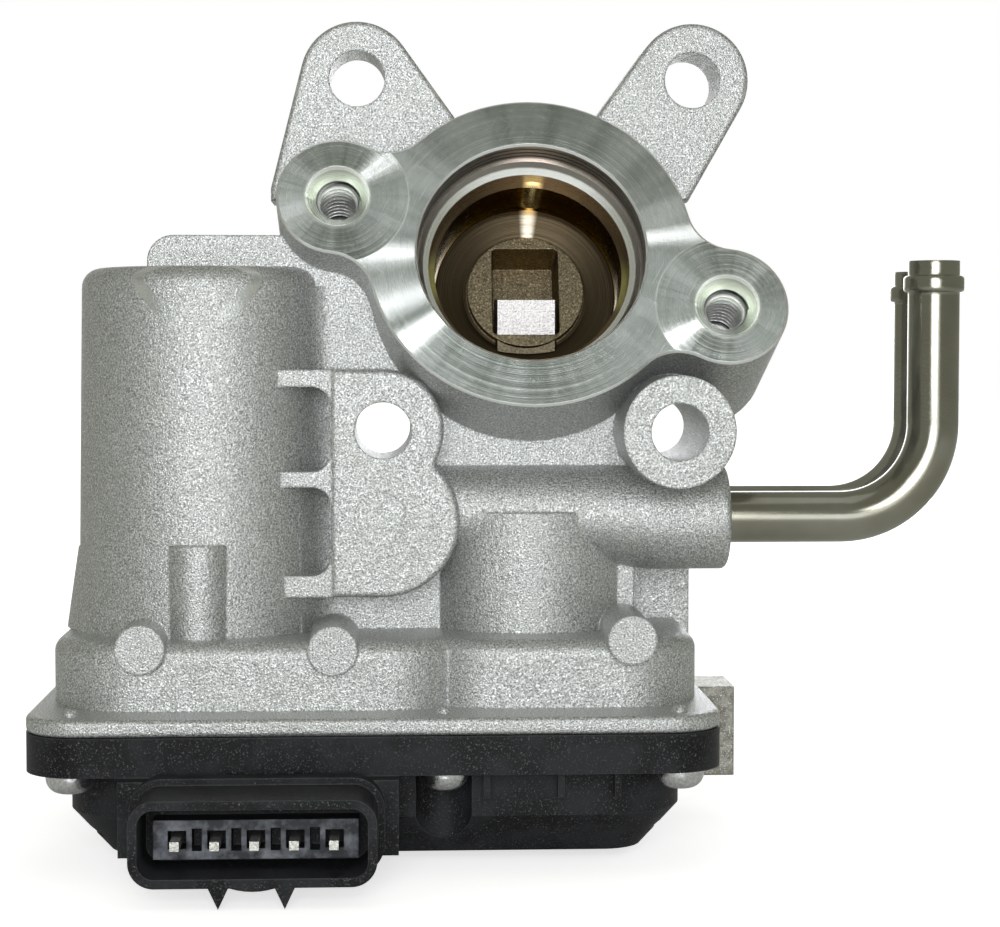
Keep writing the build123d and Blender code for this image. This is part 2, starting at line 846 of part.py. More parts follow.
inner_race_r = shaft_low_r + race_wall
outer_race_r = bearing_r - race_wall
with BuildPart() as shaft_seal:
    # Steel-cased lip seal: a channel section with the lip against the shaft
    add(ring(seal_r, shaft_low_r + running_gap, seal_top_z, seal_height))
    with Locations((port_x, shaft_y, seal_top_z)):
        Cylinder(
            seal_r - race_wall,
            seal_height - race_wall,
            align=(Align.CENTER, Align.CENTER, Align.MAX),
            mode=Mode.SUBTRACT,
        )
    add(ring(inner_race_r, shaft_low_r + running_gap, seal_top_z, seal_height))
shaft_seal.part.label = "shaft_seal"
export_step(shaft_seal.part, "parts/shaft_seal.step")

with BuildPart() as bearing_outer:
    add(ring(bearing_r, outer_race_r, bearing_top_z, bearing_height))
bearing_outer.part.label = "bearing_outer_race"
export_step(bearing_outer.part, "parts/bearing_outer_race.step")

with BuildPart() as bearing_inner:
    add(ring(inner_race_r, shaft_low_r, bearing_top_z, bearing_height))
bearing_inner.part.label = "bearing_inner_race"
export_step(bearing_inner.part, "parts/bearing_inner_race.step")

with BuildPart() as bearing_balls:
    with Locations((port_x, shaft_y, bearing_top_z - bearing_height / 2)):
        with PolarLocations((inner_race_r + outer_race_r) / 2, ball_count):
            Sphere((outer_race_r - inner_race_r) / 2 - running_gap)
bearing_balls.part.label = "bearing_balls"
export_step(bearing_balls.part, "parts/bearing_balls.step")

# ---------------------------------------------------------------- return spring and its sleeve
with BuildPart() as spring_sleeve:
    sleeve_height = spring_top_z - open_gap - sector_top_z
    sleeve_outer = spring_mean_r - spring_wire / 2 - 2 * open_gap
    add(
        ring(
            sleeve_outer,
            sleeve_outer - race_wall,
            spring_top_z - open_gap,
            sleeve_height,
        )
    )
spring_sleeve.part.label = "spring_sleeve"
export_step(spring_sleeve.part, "parts/spring_sleeve.step")

with BuildPart() as return_spring:
    spring_low_z = spring_top_z - seat_gap - spring_wire / 2 - spring_pitch * spring_turns
    with BuildLine() as coil:
        Helix(
            spring_pitch,
            spring_pitch * spring_turns,
            spring_mean_r,
            center=(port_x, shaft_y, spring_low_z),
        )
    with BuildSketch(Plane(origin=coil.line @ 0, z_dir=coil.line % 0)):
        Circle(spring_wire / 2)
    sweep(path=coil.line, is_frenet=True)
return_spring.part.label = "return_spring"
export_step(return_spring.part, "parts/return_spring.step")

# ---------------------------------------------------------------- gear train
tooth_pitch = 360 / sector_teeth
sector_first = mesh_bearing - (sector_arc_teeth - 1 - sector_lead_teeth) * tooth_pitch
sector_sweep = sector_arc_teeth * tooth_pitch
sector_root_r = second_module * (sector_teeth / 2 - tooth_root)
with BuildPart() as sector_gear:
    shaft_axis = Plane((port_x, shaft_y, 0))
    with BuildSketch(shaft_axis.offset(sector_foot_z)):
        add(sector_plan(sector_root_r, sector_first - tooth_pitch / 2, sector_sweep))
        add(gear_teeth(sector_teeth, second_module, sector_first, sector_arc_teeth))
        Circle(sleeve_outer + open_gap)
    extrude(amount=sector_height)
    # Hub passing the idler wheel, and the cup that holds the sensor magnets
    with BuildSketch(shaft_axis.offset(cup_top_z)):
        Circle(hub_neck_r)
    extrude(amount=sector_foot_z - cup_top_z)
    with BuildSketch(shaft_axis.offset(cup_top_z)):
        Circle(yoke_r)
    extrude(amount=-cup_web)
    with BuildSketch(shaft_axis.offset(cup_top_z)):
        Circle(shaft_low_r)
    extrude(amount=sector_top_z - cup_top_z, mode=Mode.SUBTRACT)
sector_gear.part.label = "sector_gear"
export_step(sector_gear.part, "parts/sector_gear.step")

yoke_top_z = cup_top_z - cup_web
with BuildPart() as magnet_yoke:
    add(ring(yoke_r, yoke_r - yoke_wall, yoke_top_z, yoke_height))
magnet_yoke.part.label = "magnet_yoke"
export_step(magnet_yoke.part, "parts/magnet_yoke.step")

with BuildPart() as sensor_magnets:
    for start in (0, 180):
        with BuildSketch(shaft_axis.offset(yoke_top_z)):
            add(sector_plan(yoke_r - yoke_wall, start, sensor_magnet_sweep))
            Circle(sensor_magnet_bore, mode=Mode.SUBTRACT)
        extrude(amount=-yoke_height)
sensor_magnets.part.label = "sensor_magnets"
export_step(sensor_magnets.part, "parts/sensor_magnets.step")

with BuildPart() as idler_gear:
    idler_axis = Plane((idler_x, idler_y, 0))
    small_turn = mesh_bearing + 180 + 180 / small_teeth
    with BuildSketch(idler_axis.offset(wheel_top_z)):
        Circle(second_module * (small_teeth / 2 - tooth_root))
        add(gear_teeth(small_teeth, second_module, small_turn))
    extrude(amount=sector_top_z - wheel_top_z)
    with BuildSketch(idler_axis.offset(wheel_foot_z)):
        Circle(first_module * (wheel_teeth / 2 - tooth_root))
        add(gear_teeth(wheel_teeth, first_module, pinion_bearing + 180))
    extrude(amount=wheel_height)
    with BuildSketch(idler_axis.offset(wheel_foot_z)):
        Circle(wheel_recess_outer)
        Circle(wheel_recess_inner, mode=Mode.SUBTRACT)
    extrude(amount=wheel_height / 3, mode=Mode.SUBTRACT)
    with Locations((idler_x, idler_y, sector_top_z)):
        Hole(idler_pin_r + running_gap)
idler_gear.part.label = "idler_gear"
export_step(idler_gear.part, "parts/idler_gear.step")

pin_top_z = roof_under_z + pin_seat
pin_foot_z = wheel_foot_z - seat_gap - pin_cover_seat
with BuildPart() as idler_pin:
    with Locations((idler_x, idler_y, pin_top_z)):
        Cylinder(
            idler_pin_r, pin_top_z - pin_foot_z, align=(Align.CENTER, Align.CENTER, Align.MAX)
        )
idler_pin.part.label = "idler_pin"
export_step(idler_pin.part, "parts/idler_pin.step")

# ---------------------------------------------------------------- motor
motor_axis = Plane((motor_x, motor_y, 0))
with BuildPart() as motor_can:
    with BuildSketch(motor_axis.offset(can_foot_z)):
        Circle(can_r)
    extrude(amount=can_length)
    fillet(motor_can.edges().group_by(Axis.Z)[-1], can_corner_r)
    with BuildSketch(motor_axis.offset(can_foot_z)):
        Circle(can_r - can_wall)
    extrude(amount=can_length - can_wall, mode=Mode.SUBTRACT)
    with BuildSketch(motor_axis.offset(can_top_z - can_wall)):
        Circle(bush_seat_r + can_wall)
    extrude(amount=-bush_seat_depth)
    with BuildSketch(motor_axis.offset(can_top_z - can_wall)):
        Circle(bush_seat_r)
    extrude(amount=-bush_seat_depth, mode=Mode.SUBTRACT)
motor_can.part.label = "motor_can"
export_step(motor_can.part, "parts/motor_can.step")

with BuildPart() as motor_bush:
    add(
        ring(
            bush_seat_r,
            motor_shaft_r + running_gap,
            can_top_z - can_wall,
            bush_seat_depth,
            motor_x,
            motor_y,
        )
    )
motor_bush.part.label = "motor_bush"
export_step(motor_bush.part, "parts/motor_bush.step")

with BuildPart() as field_magnets:
    for start in (0, 180):
        with BuildSketch(motor_axis.offset(core_top_z + magnet_overhang)):
            add(sector_plan(can_r - can_wall, start - field_magnet_sweep / 2, field_magnet_sweep))
            Circle(core_r + air_gap, mode=Mode.SUBTRACT)
        extrude(amount=-core_length - 2 * magnet_overhang)
field_magnets.part.label = "field_magnets"
export_step(field_magnets.part, "parts/field_magnets.step")

with BuildPart() as armature_core:
    with BuildSketch(motor_axis.offset(core_top_z)):
        Circle(core_r)
        with PolarLocations(core_r - slot_depth / 2, slot_count):
            Rectangle(slot_depth, slot_width, mode=Mode.SUBTRACT)
        Circle(motor_shaft_r, mode=Mode.SUBTRACT)
    extrude(amount=-core_length)
armature_core.part.label = "armature_core"
export_step(armature_core.part, "parts/armature_core.step")

core_foot_z = core_top_z - core_length
with BuildPart() as armature_windings:
    # End turns above and below the core, joined through its slots
    for plane_z in (core_top_z, core_foot_z - winding_height):
        with BuildSketch(motor_axis.offset(plane_z)):
            Circle(core_r - winding_step)
            Circle(winding_bore_r, mode=Mode.SUBTRACT)
        extrude(amount=winding_height)
    with BuildSketch(motor_axis.offset(core_top_z)):
        with PolarLocations(core_r - slot_depth / 2 - slot_liner, slot_count):
            Rectangle(slot_depth - 2 * slot_liner, slot_width)
    extrude(amount=-core_length)
armature_windings.part.label = "armature_windings"
export_step(armature_windings.part, "parts/armature_windings.step")

commutator_top_z = core_foot_z - winding_height
with BuildPart() as commutator:
    add(
        ring(commutator_r, motor_shaft_r, commutator_top_z, commutator_height, motor_x, motor_y)
    )
commutator.part.label = "commutator"
export_step(commutator.part, "parts/commutator.step")

with BuildPart() as motor_brushes:
    for side in (-1, 1):
        with Locations(
            (
                motor_x + side * (commutator_r + running_gap + brush_length / 2),
                motor_y,
                commutator_top_z - commutator_height / 2,
            )
        ):
            Box(brush_length, brush_width, brush_width)
motor_brushes.part.label = "motor_brushes"
export_step(motor_brushes.part, "parts/motor_brushes.step")

with BuildPart() as motor_end_cap:
    with BuildSketch(motor_axis.offset(roof_under_z)):
        Circle(can_r)
    extrude(amount=end_cap_height)
    # Brush holder ring that plugs into the can
    with BuildSketch(motor_axis.offset(can_foot_z)):
        Circle(can_r - can_wall)
        Circle(commutator_r + holder_gap, mode=Mode.SUBTRACT)
    extrude(amount=commutator_top_z - can_foot_z)
    with BuildSketch(motor_axis.offset(roof_under_z)):
        Circle(motor_shaft_r + running_gap)
    extrude(amount=end_cap_height, mode=Mode.SUBTRACT)
    add(motor_brushes.part, mode=Mode.SUBTRACT)
motor_end_cap.part.label = "motor_end_cap"
export_step(motor_end_cap.part, "parts/motor_end_cap.step")

pinion_foot_z = wheel_foot_z - open_gap
with BuildPart() as motor_shaft:
    with BuildSketch(motor_axis.offset(pinion_foot_z)):
        Circle(motor_shaft_r)
    extrude(amount=can_top_z - can_wall - open_gap - pinion_foot_z)
motor_shaft.part.label = "motor_shaft"
export_step(motor_shaft.part, "parts/motor_shaft.step")

with BuildPart() as motor_pinion:
    with BuildSketch(motor_axis.offset(pinion_foot_z)):
        Circle(first_module * (pinion_teeth / 2 - tooth_root))
        add(gear_teeth(pinion_teeth, first_module, pinion_bearing + 180 / pinion_teeth))
        Circle(motor_shaft_r, mode=Mode.SUBTRACT)
    extrude(amount=wheel_height + 2 * gear_step)
motor_pinion.part.label = "motor_pinion"
export_step(motor_pinion.part, "parts/motor_pinion.step")

with BuildPart() as motor_retainer:
    with BuildSketch(Plane.XY.offset(roof_under_z - retainer_thick)):
        with Locations((motor_x, motor_y)):
            Circle(retainer_r)
        with Locations(*retainer_screws):
            Circle(retainer_ear_r)
        make_hull()
        with Locations((motor_x, motor_y)):
            Circle(retainer_bore_r, mode=Mode.SUBTRACT)
        with Locations(*retainer_screws):
            Circle(retainer_screw_r + seat_gap, mode=Mode.SUBTRACT)
    extrude(amount=retainer_thick)
motor_retainer.part.label = "motor_retainer"
export_step(motor_retainer.part, "parts/motor_retainer.step")

with BuildPart() as retainer_fixings:
    for x, y in retainer_screws:
        with Locations((x, y, roof_under_z + retainer_bite)):
            Cylinder(
                retainer_screw_r,
                retainer_bite + retainer_thick,
                align=(Align.CENTER, Align.CENTER, Align.MAX),
            )
        with Locations((x, y, roof_under_z - retainer_thick)):
            Cylinder(
                retainer_head_r, retainer_head, align=(Align.CENTER, Align.CENTER, Align.MAX)
            )
retainer_fixings.part.label = "retainer_screws"
export_step(retainer_fixings.part, "parts/retainer_screws.step")

# ---------------------------------------------------------------- cover, connector and sensor
with BuildPart() as gasket:
    with BuildSketch(Plane.XY.offset(joint_z)):
        add(chamber_plan(wall - gasket_land - gasket_width))
        add(chamber_plan(wall - gasket_land), mode=Mode.SUBTRACT)
    extrude(amount=gasket_depth)
gasket.part.label = "cover_gasket"
export_step(gasket.part, "parts/cover_gasket.step")


def cover_plan(inset=0.0):
    """Plan of the cover's body below its rim."""
    with BuildSketch(mode=Mode.PRIVATE) as plan:
        with Locations(((cover_left + cover_right) / 2, (cover_front + cover_back) / 2)):
            RectangleRounded(
                cover_right - cover_left - 2 * inset,
                cover_back - cover_front - 2 * inset,
                cover_corner_r - inset,
            )
    return plan.sketch


terminal_middle = (terminal_count - 1) / 2
terminal_xs = [socket_x + (i - terminal_middle) * terminal_pitch for i in range(terminal_count)]
with BuildPart() as terminals:
    terminal_front = socket_front + terminal_tip_gap
    terminal_back = chamber_front + wall + terminal_tail
    for x in terminal_xs:
        with Locations((x, (terminal_front + terminal_back) / 2, terminal_z)):
            Box(terminal_size, terminal_back - terminal_front, terminal_size)
terminals.part.label = "connector_terminals"
export_step(terminals.part, "parts/connector_terminals.step")

with BuildPart() as cover:
    with BuildSketch(Plane.XY.offset(floor_z)):
        add(cover_plan())
    extrude(amount=cover_depth)
    chamfer(cover.edges().group_by(Axis.Z)[0], cover_slope, cover_slope_rise)
    with BuildSketch(Plane.XY.offset(rim_z)):
        add(flange_plan())
    extrude(amount=cover_rim)
    # Connector: root block, collar and shroud
    with Locations((socket_x, block_front, rim_z)):
        Box(block_width, block_depth, block_height, align=(Align.CENTER, Align.MIN, Align.MAX))
    with BuildSketch(Plane.XZ.offset(-block_front)):
        with Locations((socket_x, socket_z)):
            RectangleRounded(
                socket_width + 2 * collar_step,
                socket_height + 2 * collar_step,
                socket_corner_r + collar_step,
            )
    extrude(amount=collar_length)
    with BuildSketch(Plane.XZ.offset(-block_front)):
        with Locations((socket_x, socket_z)):
            RectangleRounded(socket_width, socket_height, socket_corner_r)
    extrude(amount=block_front - socket_front)
    # Low swell under the shroud between two pointed lock ramps
    with BuildSketch(
        Plane(
            origin=(socket_x, socket_front, socket_z - socket_height / 2),
            x_dir=(1, 0, 0),
            z_dir=(0, 1, 0),
        )
    ):
        with BuildLine():
            swell = ThreePointArc((-swell_half_width, 0), (0, swell_drop), (swell_half_width, 0))
            Line(swell @ 1, swell @ 0)
        make_face()
    extrude(amount=ramp_length)
    for x in lock_xs:
        with BuildSketch(Plane.XZ.offset(-socket_front - ramp_length)):
            with Locations((x, socket_z - socket_height / 2 + socket_wall / 2)):
                Polygon(
                    (-ramp_width / 2, 0),
                    (0, -ramp_height),
                    (ramp_width / 2, 0),
                    align=None,
                )
        extrude(amount=ramp_length)
    # Stiffening ribs under the rim
    for x in cover_rib_xs:
        with Locations((x, cover_front, rim_z)):
            Box(
                cover_rib_width,
                cover_rib_reach,
                cover_rib_height,
                align=(Align.CENTER, Align.MAX, Align.MAX),
            )
    # Pockets for the screw heads, and the screw holes
    for y in (screw_front_y, screw_back_y):
        for x in screw_xs:
            with Locations((x, y, rim_z)):
                Cylinder(
                    screw_pocket_r,
                    cover_depth,
                    align=(Align.CENTER, Align.CENTER, Align.MAX),
                    mode=Mode.SUBTRACT,
                )
                Cylinder(
                    screw_r + seat_gap,
                    cover_rim,
                    align=(Align.CENTER, Align.CENTER, Align.MIN),
                    mode=Mode.SUBTRACT,
                )
    # Hollow inside
    with BuildSketch(Plane.XY.offset(floor_z + cover_wall)):
        add(chamber_plan(wall))
        add(cover_plan(cover_wall), mode=Mode.INTERSECT)
        with Locations((screw_xs[1], screw_front_y), (screw_xs[1], screw_back_y)):
            Circle(screw_pocket_r + screw_boss_wall, mode=Mode.SUBTRACT)
    extrude(amount=joint_z - floor_z - cover_wall, mode=Mode.SUBTRACT)
    # Boss for the idler pin
    with BuildSketch(idler_axis.offset(floor_z + cover_wall)):
        Circle(2 * idler_pin_r)
    extrude(amount=wheel_foot_z - seat_gap - floor_z - cover_wall)
    with BuildSketch(idler_axis.offset(pin_foot_z)):
        Circle(idler_pin_r)
    extrude(amount=pin_cover_seat, mode=Mode.SUBTRACT)
    # Socket, with a stepped insulator round the terminals
    with BuildSketch(Plane.XZ.offset(-socket_front)):
        with Locations((socket_x, socket_z)):
            RectangleRounded(
                socket_width - 2 * socket_wall,
                socket_height - 2 * socket_wall,
                socket_corner_r - socket_wall,
            )
    extrude(amount=-socket_depth, mode=Mode.SUBTRACT)
    with BuildSketch(Plane.XZ.offset(-socket_front - socket_depth)):
        with Locations((socket_x, terminal_z)):
            Rectangle(insulator_width, insulator_height)
        with Locations(*[(x, terminal_z) for x in terminal_xs]):
            Rectangle(2 * terminal_size, 2 * terminal_size, mode=Mode.SUBTRACT)
        with Locations(*[(x + terminal_pitch / 2, terminal_z) for x in terminal_xs[:-1]]):
            Rectangle(key_slot_width, key_slot_height, mode=Mode.SUBTRACT)
    extrude(amount=insulator_length)
    add(terminals.part, mode=Mode.SUBTRACT)
cover.part.label = "sensor_cover"
export_step(cover.part, "parts/sensor_cover.step")

with BuildPart() as hall_sensor:
    sensor_top_z = yoke_top_z - sensor_gap
    with BuildSketch(shaft_axis.offset(floor_z + cover_wall)):
        Circle(sensor_r)
    extrude(amount=sensor_top_z - floor_z - cover_wall)
    with BuildSketch(shaft_axis.offset(floor_z + cover_wall)):
        Rectangle(3 * sensor_r, 3 * sensor_r)
    extrude(amount=sensor_base)
hall_sensor.part.label = "hall_sensor"
export_step(hall_sensor.part, "parts/hall_sensor.step")

with BuildPart() as cover_screws:
    for y in (screw_front_y, screw_back_y):
        for x in screw_xs:
            with Locations((x, y, rim_z)):
                Cylinder(
                    screw_head_r,
                    screw_head_height,
                    align=(Align.CENTER, Align.CENTER, Align.MAX),
                )
    fillet(cover_screws.edges().group_by(Axis.Z)[0], screw_dome_r)
    # Six-lobe drive sunk in each dome
    with BuildSketch(Plane.XY.offset(rim_z - screw_head_height)):
        with Locations(*[(x, y) for x in screw_xs for y in (screw_front_y, screw_back_y)]):
            Circle(drive_r)
            with PolarLocations(drive_r, 6):
                Circle(drive_lobe_r)
    extrude(amount=drive_depth, mode=Mode.SUBTRACT)
    for y in (screw_front_y, screw_back_y):
        for x in screw_xs:
            with Locations((x, y, rim_z)):
                Cylinder(
                    screw_r,
                    cover_rim + screw_bite,
                    align=(Align.CENTER, Align.CENTER, Align.MIN),
                )
cover_screws.part.label = "cover_screws"
export_step(cover_screws.part, "parts/cover_screws.step")

# ---------------------------------------------------------------- coolant pipes
for name, y, rise_x, top_z in (
    ("front_coolant_pipe", pipe_ys[0], pipe_x, pipe_top_z),
    ("rear_coolant_pipe", pipe_ys[1], pipe_x + rear_pipe_step_x, pipe_top_z - rear_pipe_drop),
):
    with BuildPart() as pipe:
        with BuildLine() as route:
            FilletPolyline(
                (jacket_end - pipe_socket, y, pipe_z),
                (rise_x, y, pipe_z),
                (rise_x, y, top_z),
                radius=pipe_bend_r,
            )
        with BuildSketch(Plane(origin=route.line @ 0, z_dir=route.line % 0)):
            Circle(pipe_r)
        sweep(path=route.line)
        # Hose bead just below the open end
        with Locations((rise_x, y, top_z - pipe_bead_drop)):
            Cylinder(pipe_bead_r, pipe_bead_width)
        bead_rims = pipe.edges().filter_by(
            lambda edge: edge.geom_type == GeomType.CIRCLE
            and pipe_r + 0.1 < edge.radius < pipe_bend_r / 2
        )
        fillet(bead_rims, 0.6)
        with BuildSketch(Plane(origin=route.line @ 0, z_dir=route.line % 0)):
            Circle(pipe_r - pipe_wall)
        sweep(path=route.line, mode=Mode.SUBTRACT)
    pipe.part.label = name
    export_step(pipe.part, f"parts/{name}.step")
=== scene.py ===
import json
from math import cos, radians, sin

import bmesh
import bpy
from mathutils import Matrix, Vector


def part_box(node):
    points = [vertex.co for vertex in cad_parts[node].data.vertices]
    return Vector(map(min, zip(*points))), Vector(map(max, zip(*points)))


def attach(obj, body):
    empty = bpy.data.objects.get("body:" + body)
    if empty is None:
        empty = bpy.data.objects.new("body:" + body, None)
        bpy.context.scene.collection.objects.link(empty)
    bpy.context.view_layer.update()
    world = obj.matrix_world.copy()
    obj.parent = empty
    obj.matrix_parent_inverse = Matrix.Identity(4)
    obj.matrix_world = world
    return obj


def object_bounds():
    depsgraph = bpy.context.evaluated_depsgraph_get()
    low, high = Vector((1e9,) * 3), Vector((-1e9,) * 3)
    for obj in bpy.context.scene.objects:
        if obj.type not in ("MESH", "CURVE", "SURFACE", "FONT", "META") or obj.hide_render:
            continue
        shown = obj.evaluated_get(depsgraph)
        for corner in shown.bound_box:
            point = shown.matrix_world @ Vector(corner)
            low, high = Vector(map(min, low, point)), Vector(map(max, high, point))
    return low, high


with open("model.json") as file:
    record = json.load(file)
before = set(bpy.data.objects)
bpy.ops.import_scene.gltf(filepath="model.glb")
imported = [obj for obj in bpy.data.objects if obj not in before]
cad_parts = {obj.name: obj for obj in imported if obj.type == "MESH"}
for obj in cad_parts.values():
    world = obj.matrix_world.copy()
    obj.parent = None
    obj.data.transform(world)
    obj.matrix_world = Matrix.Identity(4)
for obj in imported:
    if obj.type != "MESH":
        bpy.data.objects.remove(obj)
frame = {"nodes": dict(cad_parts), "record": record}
cad_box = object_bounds()
nodes = frame["nodes"]
MM = 0.001
FRONT = Vector((0, -1, 0))
BACK = Vector((0, 1, 0))
UP = Vector((0, 0, 1))

# Port and threaded lobes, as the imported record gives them
mounts = {mount["name"]: mount for mount in frame["record"]["mounts"]}
openings = {opening["name"]: opening for opening in frame["record"]["physics"]["openings"]}
port_mount = mounts["front_port"]
port_axis = Vector(port_mount["axis"]).normalized()
port_centre = Vector((port_mount["pos_m"][0], *mounts["front_face"]["pos_m"][1:]))
port_side = Vector((1, 0, 0))
port_up = port_axis.cross(port_side)
mouth_r = port_mount["dims"]["r_mm"] * MM
bolt_names = ("front_bolt_left", "front_bolt_right")
bolt_r = mounts["front_bolt_left"]["dims"]["r_mm"] * MM

# Sizes of the port and its lobes that the record doesn't give
machined_edge = 0.35 * MM
mouth_land = port_mount["dims"]["length_mm"] * MM + machined_edge
land_grooves = (1.3 * MM, 2.5 * MM, 3.7 * MM)
throat_step = 1.6 * MM
mouth_reach = 9.8 * MM
hub_r = 9.25 * MM
bolt_sink_r = bolt_r + 1.75 * MM
bolt_depth = 15 * MM
spot_face_r = 10.9 * MM
thread_pitch = 1.25 * MM
thread_height = 0.55 * MM

# The socket's opening ends this far before the moulded face round the terminals
opening_gap = 0.3 * MM
insulator_face = openings["connector_socket"]["box_m"][1][1] + opening_gap

# Marks of the casting: ejector pin's ring, box round the broken gate, centre of the milled arcs
ejector_mark = Vector((-22.6, -21.5, -13.4)) * MM
ejector_mark_r = 4.0 * MM
gate_low = Vector((28.6, -1.6, -58.0)) * MM
gate_high = Vector((40.0, 11.6, -42.0)) * MM
mill_centre = Vector((-160, 0, 120)) * MM

# Height of the shaft's flat where it shows in the hub's pocket, and half its length there
flat_middle = 17.4 * MM
flat_reach = 2.8 * MM

# Painted highlights, bright fans across the cutter marks: angle and half width in degrees, and
# strength
port_highlight_fans = ((181, 8, 0.5), (202, 9, 0.36), (218, 8, 0.75), (7, 6, 0.7), (16, 10, 0.25))
lobe_highlight_fans = {
    "front_bolt_left": ((38, 20, 0.65), (200, 40, 0.2)),
    "front_bolt_right": ((214, 18, 0.75), (60, 40, 0.2), (285, 30, 0.2)),
}
fan_falloff = 1.7

# The normal that fans lean to, which mirrors the lamps in front
fan_normal = (0.0, -0.99, 0.12)


def on_flange(point):
    """A record point carried along the port axis onto the flange face."""
    return point + port_axis * (port_centre - point).dot(port_axis)


bolt_tops = {name: on_flange(Vector(mounts[name]["pos_m"])) for name in bolt_names}


def flange_way(degrees):
    """Direction in the flange face at an angle from its right-hand side."""
    angle = radians(degrees)
    return port_side * cos(angle) + port_up * sin(angle)


# ------------------------------------------------------------------ node trees
class Nodes:
    """Fills a node tree, by calls that return sockets."""

    def __init__(self, tree):
        self.tree = tree
        tree.nodes.clear()

    def add(self, kind, **settings):
        node = self.tree.nodes.new(kind)
        for key, value in settings.items():
            setattr(node, key, value)
        return node

    def put(self, socket, value):
        if isinstance(value, bpy.types.NodeSocket):
            self.tree.links.new(value, socket)
        else:
            socket.default_value = value

    def fill(self, node, *values, out=0):
        """Puts values into a node's first sockets and returns one of its outputs."""
        for socket, value in zip(node.inputs, values):
            self.put(socket, value)
        return node.outputs[out]

    def math(self, operation, *values):
        return self.fill(self.add("ShaderNodeMath", operation=operation), *values)

    def most(self, *values):
        """The largest of several numbers."""
        largest = values[0]
        for value in values[1:]:
            largest = self.math("MAXIMUM", largest, value)
        return largest

    def times(self, *values):
        """Product of masks and strengths, so 1 only where every mask is 1."""
        product = values[0]
        for value in values[1:]:
            product = self.math("MULTIPLY", product, value)
        return product

    def off(self, value, middle):
        """How far a number is from a middle, either way."""
        return self.math("ABSOLUTE", self.math("SUBTRACT", value, middle))

    def spread(self, value, low, high, new_low=0.0, new_high=1.0):
        """Maps low..high of a value onto a new range, clamped."""
        return self.fill(self.add("ShaderNodeMapRange"), value, low, high, new_low, new_high)

    def below(self, value, limit, soft):
        """1 where the value is under a limit, 0 above it."""
        return self.spread(value, limit - soft, limit + soft, 1.0, 0.0)


